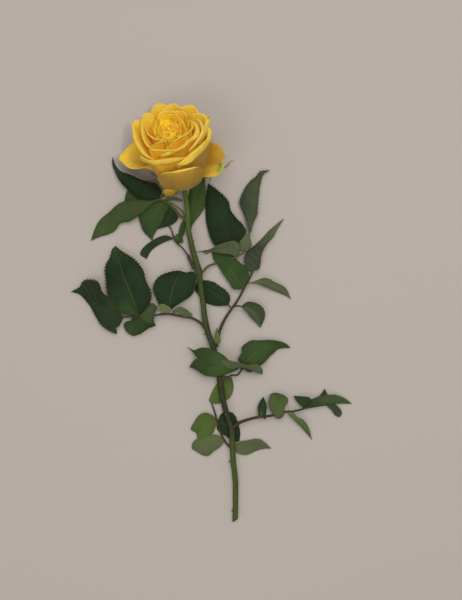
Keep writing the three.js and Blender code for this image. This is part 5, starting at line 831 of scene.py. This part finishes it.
# ---- sepals ---------------------------------------------------------------
for k, (name, points, wide) in enumerate(SEPALS):
    b = Build()
    n = 40
    ts = np.linspace(0, 1, n + 1)
    line = place(resample(points, ts))
    t = unit(np.gradient(line, axis=0))
    side = unit(np.cross(np.tile([0.0, 0.25, 1.0], (n + 1, 1)), t))
    w = wide * (0.35 + 0.65 * np.sin(np.pi * np.minimum(1, 0.25 + ts))) * (1 - 0.75 * ts ** 3)
    w[-1] = 0.15
    us = np.linspace(-1, 1, 13)
    wob = wobble(50 + k)
    g = line[:, None] + side[:, None] * (us[None, :, None] * w[:, None, None])
    g[..., 2] += np.abs(us)[None] ** 1.5 * 0.9 * w[:, None] / wide + 0.4 * wob(ts[:, None] * 3, us[None])
    # small side lobes, as on a real sepal
    frill = 0.5 * np.maximum(0, np.sin(2 * np.pi * ts * 9 + k)) * (ts < 0.7)
    g += side[:, None] * (np.sign(us) * np.abs(us) ** 8)[None, :, None] * frill[:, None, None]
    clamp_floor(g)
    b.sheet(g, 0.28 - 0.12 * np.abs(us)[None] ** 4, 0, 0.15 + 0.2 * ts[:, None], 0.0)
    finish_piece(b.make(name + "_fine", [SEPAL_DRY if name == "sepal_right_b" else SEPAL_MAT]), name)


# ---- petals ---------------------------------------------------------------
def bezier(p0, p1, p2, p3, t):
    t = t[:, None]
    return ((1 - t) ** 3 * p0 + 3 * (1 - t) ** 2 * t * p1 + 3 * (1 - t) * t ** 2 * p2 + t ** 3 * p3)


# how far in a petal stands below its rim, as a share of the rim's distance
LEAN = {"petal_left_outer": 0.76, "petal_left_second": 0.68, "petal_back_left": 0.74,
        "petal_back_middle": 0.74, "petal_right_top": 0.80, "petal_right_outer": 0.84,
        "petal_inner_right_b": 0.82, "petal_inner_left": 0.84, "petal_inner_back": 0.76,
        "petal_inner_left_b": 0.82, "petal_inner_right_a": 0.80}
SHELF = {"petal_left_outer": (1.0, 0.84), "petal_left_second": (0.92, 0.84)}
LEAN_LEAST = {"petal_left_outer": 1.0, "petal_left_second": 0.85, "petal_right_top": 0.6,
              "petal_inner_right_b": 0.6}
# how much the two ends of a petal are drawn in below the rim
TUCK = {"petal_roll_front_left": (0.50, 0.0), "petal_cup_front": (0.10, 0.22),
        "petal_inner_front": (0.0, 0.0)}


def petal_grid(spec, nb, nl, nu, seed):
    name, layer, bulge, crest, lip, roll = spec
    us = np.linspace(0, 1, nu + 1)
    wob = wobble(seed)
    if name == "petal_guard_fallen":
        C = place(resample(crest, us))
        g = np.empty((nb + 1, nu + 1, 3))
        for i, u in enumerate(us):
            f = 4.0 + 0.9 * u
            p0 = in_bloom(np.array([6.5 * math.cos(f), 6.5 * math.sin(f), -1.5]))
            p1 = p0 + np.array([-2 + 3 * u, -7, -1])
            p2 = C[i] + np.array([0, 6, 3.5])
            g[:, i] = bezier(p0, p1, p2, C[i], np.linspace(0, 1, nb + 1))
        return g, np.linspace(0, 1, nb + 1), nb
    C = resample(sight(crest), us)
    L = resample(sight(lip), us) if lip else None
    md = unit(C[:, :2].mean(axis=0))
    r0 = 6.6 + (1.6 - 6.6) * layer / 8
    h0 = 0.6 + (13 - 0.6) * (layer / 8) ** 0.8
    tb = np.linspace(0, 1, nb + 1)
    tl = np.linspace(0, 1, nl + 1)[1:]
    extra = nl if (L is not None or roll) else 0
    g = np.empty((nb + 1 + extra, nu + 1, 3))
    for i, u in enumerate(us):
        c = C[i].copy()
        r = max(np.linalg.norm(c[:2]), 1e-3)
        if L is None and roll:
            c[:2] *= 1 - min(0.25, 0.75 * roll / r)
            r = np.linalg.norm(c[:2])
        d = unit(md * 0.45 + c[:2] / r * 0.55)
        b0 = np.array([d[0] * r0, d[1] * r0, h0])
        if layer < 1:
            p1 = np.array([c[0] * 0.5, c[1] * 0.5, h0 + (c[2] - h0) * 0.55])
            p2 = np.array([c[0] * 0.78, c[1] * 0.78, c[2] * 1.02])
        else:
            p1 = np.array([c[0] * 0.74, c[1] * 0.74, h0])
            p2 = np.array([c[0] * bulge, c[1] * bulge, h0 + (c[2] - h0) * 0.42])
            # petals at the sides and the back stand inside and lean out at the rim
            f = min(1.0, max(0.0, (c[1] / r + 0.62) / 0.7))
            f = max(f * f * (3 - 2 * f), LEAN_LEAST.get(name, 0.0))
            lean = LEAN.get(name, 0.76 if layer < 4.6 else 0.86)
            q1 = np.array([c[0] * (lean - 0.10), c[1] * (lean - 0.10), h0 + 1.0])
            shelf = SHELF.get(name, (0.84, 0.84))
            q2 = np.array([c[0] * lean, c[1] * lean, h0 + (c[2] - h0) * (shelf[0] + (shelf[1] - shelf[0]) * u)])
            p1 = p1 * (1 - f) + q1 * f
            p2 = p2 * (1 - f) + q2 * f
            tuck = TUCK.get(name)
            if tuck:
                k0 = max(0.0, 1 - u / 0.35) * tuck[0] + max(0.0, 1 - (1 - u) / 0.35) * tuck[1]
                p1[:2] *= 1 - 0.8 * k0
                p2[:2] *= 1 - k0
        body = bezier(b0, p1, p2, c, tb)
        g[:nb + 1, i] = in_bloom(body)
        if extra:
            up = unit(c - p2)
            e = 2 * u - 1
            if L is not None:
                far = L[i]
                w = np.linalg.norm(far - c)
                ctrl = c + up * w * 0.16 + np.array([c[0] / r, c[1] / r, 0]) * w * 0.30
            else:
                w = 1.25 * roll * (1 - 0.62 * e * e) * (1 + 0.25 * wob(u * 2.0, 0.7))
                far = c + np.array([c[0] / r * w * 0.85, c[1] / r * w * 0.85, -w * 0.42])
                ctrl = c + up * w * 0.55
            t = tl[:, None]
            g[nb + 1:, i] = in_bloom((1 - t) ** 2 * c + 2 * (1 - t) * t * ctrl + t ** 2 * far)
    vs = np.concatenate([tb, 1 + tl * 0.12 if extra else []])
    return g, vs, nb


# the small folded petals in the very middle: place on the drawing, radius in
# millimetres, the turn where each starts and ends, and the height of its rim
CURLS = [(167.2, 127.0, 3.6, 20, 230, 69.4), (166.6, 125.2, 2.2, 200, 390, 70.2),
         (169.2, 128.4, 2.0, -40, 170, 70.0), (164.4, 130.6, 2.4, 100, 290, 69.0),
         (170.8, 124.6, 2.6, -60, 120, 69.6)]


def curl(b, px, py, radius, start, end, h, seed):
    o = sight([[px, py, h]])[0]
    wob = wobble(seed)
    us, vs = np.linspace(0, 1, 22), np.linspace(0, 1, 12)
    g = np.empty((12, 22, 3))
    for i, u in enumerate(us):
        a = math.radians(start + (end - start) * u)
        r = radius * (0.55 + 0.6 * u)
        for j, v in enumerate(vs):
            rr = r * (1.15 - 0.30 * v ** 2) + 0.25 * wob(u * 3, v)
            top = h - 1.2 * (2 * u - 1) ** 2 + 0.4 * wob(u * 2, 0.3)
            g[j, i] = in_bloom(np.array([o[0] + rr * math.cos(a), o[1] + rr * math.sin(a),
                                         top - 9.0 * (1 - v)]))
    b.sheet(g, 0.16, 0, 0.55 + 0.3 * vs[:, None] ** 3, 0.0)


def mound(b, px, py, reach):
    """The closed folds between the rims of the heart: a low dome that
    follows the heights of the rims round it."""
    rims = np.vstack([resample(sight(spec[3]), np.linspace(0, 1, 24)) for spec in PETALS if spec[1] >= 4.6])
    o = sight([[px, py, 69.0]])[0]
    wob = wobble(4242)
    fs, rr = np.linspace(0, 2 * np.pi, 65), np.linspace(0.02, 1, 26)
    g = np.empty((26, 65, 3))
    for i, f in enumerate(fs):
        for j, r in enumerate(rr):
            x, y = o[0] + reach * r * math.cos(f), o[1] + reach * r * math.sin(f)
            w = 1 / (np.hypot(rims[:, 0] - x, rims[:, 1] - y) ** 2 + 4.0)
            h = (rims[:, 2] * w).sum() / w.sum()
            # shallow steps that wind round the middle
            step = ((f if i < 64 else 0.0) / (2 * np.pi) + 4.0 * r) % 1.0
            h += -1.5 + 0.5 * (0.5 - abs(step - 0.5)) - 3.0 * r ** 4 + 0.22 * wob(3 * r * math.cos(f), 3 * r * math.sin(f))
            g[j, i] = in_bloom(np.array([x, y, h]))
    b.sheet(g, 0.15, 0, 0.55, 0.0)


for k, spec in enumerate(PETALS):
    name, layer = spec[0], spec[1]
    small = layer >= 6
    nb, nl, nu = (26, 8, 30) if small else (34, 9, 52)
    g, vs, crest_at = petal_grid(spec, nb, nl, nu, 700 + k)
    nj, ni = g.shape[:2]
    wob, wob2 = wobble(900 + k), wobble(1300 + k, 8)
    U = np.linspace(0, 1, ni)[None]
    Vv = vs[:, None]
    du, dv = np.gradient(g, axis=1), np.gradient(g, axis=0)
    nrm = unit(np.cross(du, dv))
    rise = np.clip(Vv, 0, 1) ** 2
    move = 0.35 * wob(U * 1.6 + 0 * Vv, Vv * 1.4 + 0 * U) * rise + 0.16 * wob2(U * 5 + 0 * Vv, Vv * 3 + 0 * U) * rise
    ripple = 0.40 * wob2(U * 4 + 0 * Vv, 0.4 + 0 * U * Vv) * rise if layer >= 4.6 else 0.0
    g = g + nrm * (move * (0.5 if small else 1.0) + ripple)[..., None]
    clamp_floor(g)
    e = np.abs(2 * U - 1)
    half = np.broadcast_to(0.19 - 0.09 * e ** 8, (nj, ni)).copy()
    taper = np.ones(nj)
    taper[-3:] = [0.85, 0.7, 0.45]
    half = half * taper[:, None]
    # how light each face is: deep at the claw, pale at the rim. The outer face
    # of an inner petal turns deep again just below its rim.
    run = np.concatenate([np.zeros((1, ni)), np.cumsum(np.linalg.norm(np.diff(g, axis=0), axis=2), axis=0)])
    below = np.clip(run[crest_at][None] - run, 0, None)
    inner = np.clip(1.0 - (below / 26.0) ** 1.1, 0, 1)
    if layer < 1:
        inner = 0.62 + 0.38 * np.exp(-below / 9.0)
        outer = np.clip(1.0 - (below / 60.0), 0, 1)
    elif layer < 2.3:
        outer = np.clip(1.0 - (below / 30.0) ** 0.9, 0, 1) * 0.9
    else:
        outer = 0.10 + 0.90 * np.exp(-(below / 3.2) ** 1.4)
    # painted shade: the outer faces of the front cup and the front-right roll stay dark, for the shade they lie in
    if name in ("petal_cup_front", "petal_roll_front_right"):
        outer = 0.10 + 0.55 * np.exp(-(below / 7.0))
    if layer >= 4.6:
        inner = 0.45 + inner * 0.30
        outer = 0.50 + 0.22 * np.exp(-(below / 2.6) ** 1.4)
    edge = np.clip((Vv - 0.985) / 0.05, 0, 1) * (1 - 0.25 * e) + 0 * U
    if name == "petal_cup_front":
        # its rim is pale in the middle only, and both its faces go darker towards its ends: painted shade
        win = 1 - np.clip((e - 0.45) / 0.35, 0, 1)
        edge = edge * win
        outer = 0.10 + (outer - 0.10) * win
        inner = 0.12 + (inner - 0.12) * (0.1 + 0.9 * win)
    up_n = unit(np.cross(np.gradient(g, axis=1), np.gradient(g, axis=0)))
    if up_n[..., 2].mean() < 0:
        up_n = -up_n
    from_axis = g - BLOOM_AT
    from_axis = from_axis - (from_axis @ AX)[..., None] * AX
    faces_out = (up_n * unit(from_axis)).sum(-1)[crest_at // 2:crest_at].mean() > 0
    b = Build()
    b.sheet(g, half, 0, outer if faces_out else inner, edge, flip=bool(faces_out),
            tone_low=inner if faces_out else outer)
    if name == "petal_heart_f":
        mound(b, 167.6, 126.2, 13.5)
        for n, (cx, cy, rad, a0, a1, hh) in enumerate(CURLS):
            curl(b, cx, cy, rad, a0, a1, hh, 77 + n)
    # the front cup and the front-right roll take the darker guard colours as painted shade
    mat = PETAL_PAINTED_SHADE if name == "petal_guard_right" else PETAL_STREAK if name == "petal_guard_low_right" else PETAL_GUARD if layer < 1 or name in ("petal_cup_front", "petal_roll_front_right") else (PETAL_HEART if layer >= 4.6 else PETAL_ROLL if name == "petal_roll_front_left" else PETAL_LIP if name in ("petal_inner_front", "petal_inner_fold", "petal_inner_low", "petal_inner_edge") else PETAL)
    finish_piece(b.make(name + "_fine", [mat]), name)

# ---- floor, light and camera ----------------------------------------------
floor_mesh = bpy.data.meshes.new("floor")
floor_mesh.from_pydata([(-6, -6, 0), (6, -6, 0), (6, 6, 0), (-6, 6, 0)], [], [(0, 1, 2, 3)])
floor = bpy.data.objects.new("floor", floor_mesh)
bpy.context.scene.collection.objects.link(floor)
g = Graph("floor_paint")
g.bsdf.inputs["Base Color"].default_value = srgb(159, 151, 144)
g.bsdf.inputs["Roughness"].default_value = 0.9
g.bsdf.inputs["Specular IOR Level"].default_value = 0.1
floor_mesh.materials.append(g.mat)

world = bpy.data.worlds.new("studio")
bpy.context.scene.world = world
world.use_nodes = True
world.node_tree.nodes["Background"].inputs[0].default_value = (0.98, 0.985, 1.0, 1)
world.node_tree.nodes["Background"].inputs[1].default_value = 0.55


def lamp(name, spot, aim, size, watts, colour):
    data = bpy.data.lights.new(name, "AREA")
    data.shape = "DISK"
    data.size = size
    data.energy = watts
    data.color = colour
    ob = bpy.data.objects.new(name, data)
    ob.location = spot
    from mathutils import Vector
    ob.rotation_euler = (Vector(aim) - Vector(spot)).to_track_quat("-Z", "Y").to_euler()
    bpy.context.scene.collection.objects.link(ob)
    return ob


lamp("key", (0.42, 0.16, 1.45), (-0.02, 0.05, 0), 0.10, 4.8, (1.0, 0.97, 0.93))
lamp("overhead", (0.15, 0.95, 2.30), (0, 0.0, 0.0), 2.2, 37, (1.0, 0.985, 0.965))
lamp("fill", (-0.75, -0.95, 1.60), (-0.03, 0.12, 0.0), 1.3, 9, (1.0, 0.985, 0.965))

cam_data = bpy.data.cameras.new("camera")
cam_data.sensor_fit = "VERTICAL"
cam_data.sensor_height = 36.0
cam_data.lens = 60.0
cam_data.clip_start = 0.01
cam_data.clip_end = 50
cam = bpy.data.objects.new("camera", cam_data)
cam.location = ((CENTRE[0] + SHIFT[0]) / 1000, (CENTRE[1] + SHIFT[1]) / 1000, VIEW_HEIGHT / 1000)
cam.rotation_euler = (0, 0, 0)
bpy.context.scene.collection.objects.link(cam)
bpy.context.scene.camera = cam
bpy.context.scene.view_settings.view_transform = "Standard"
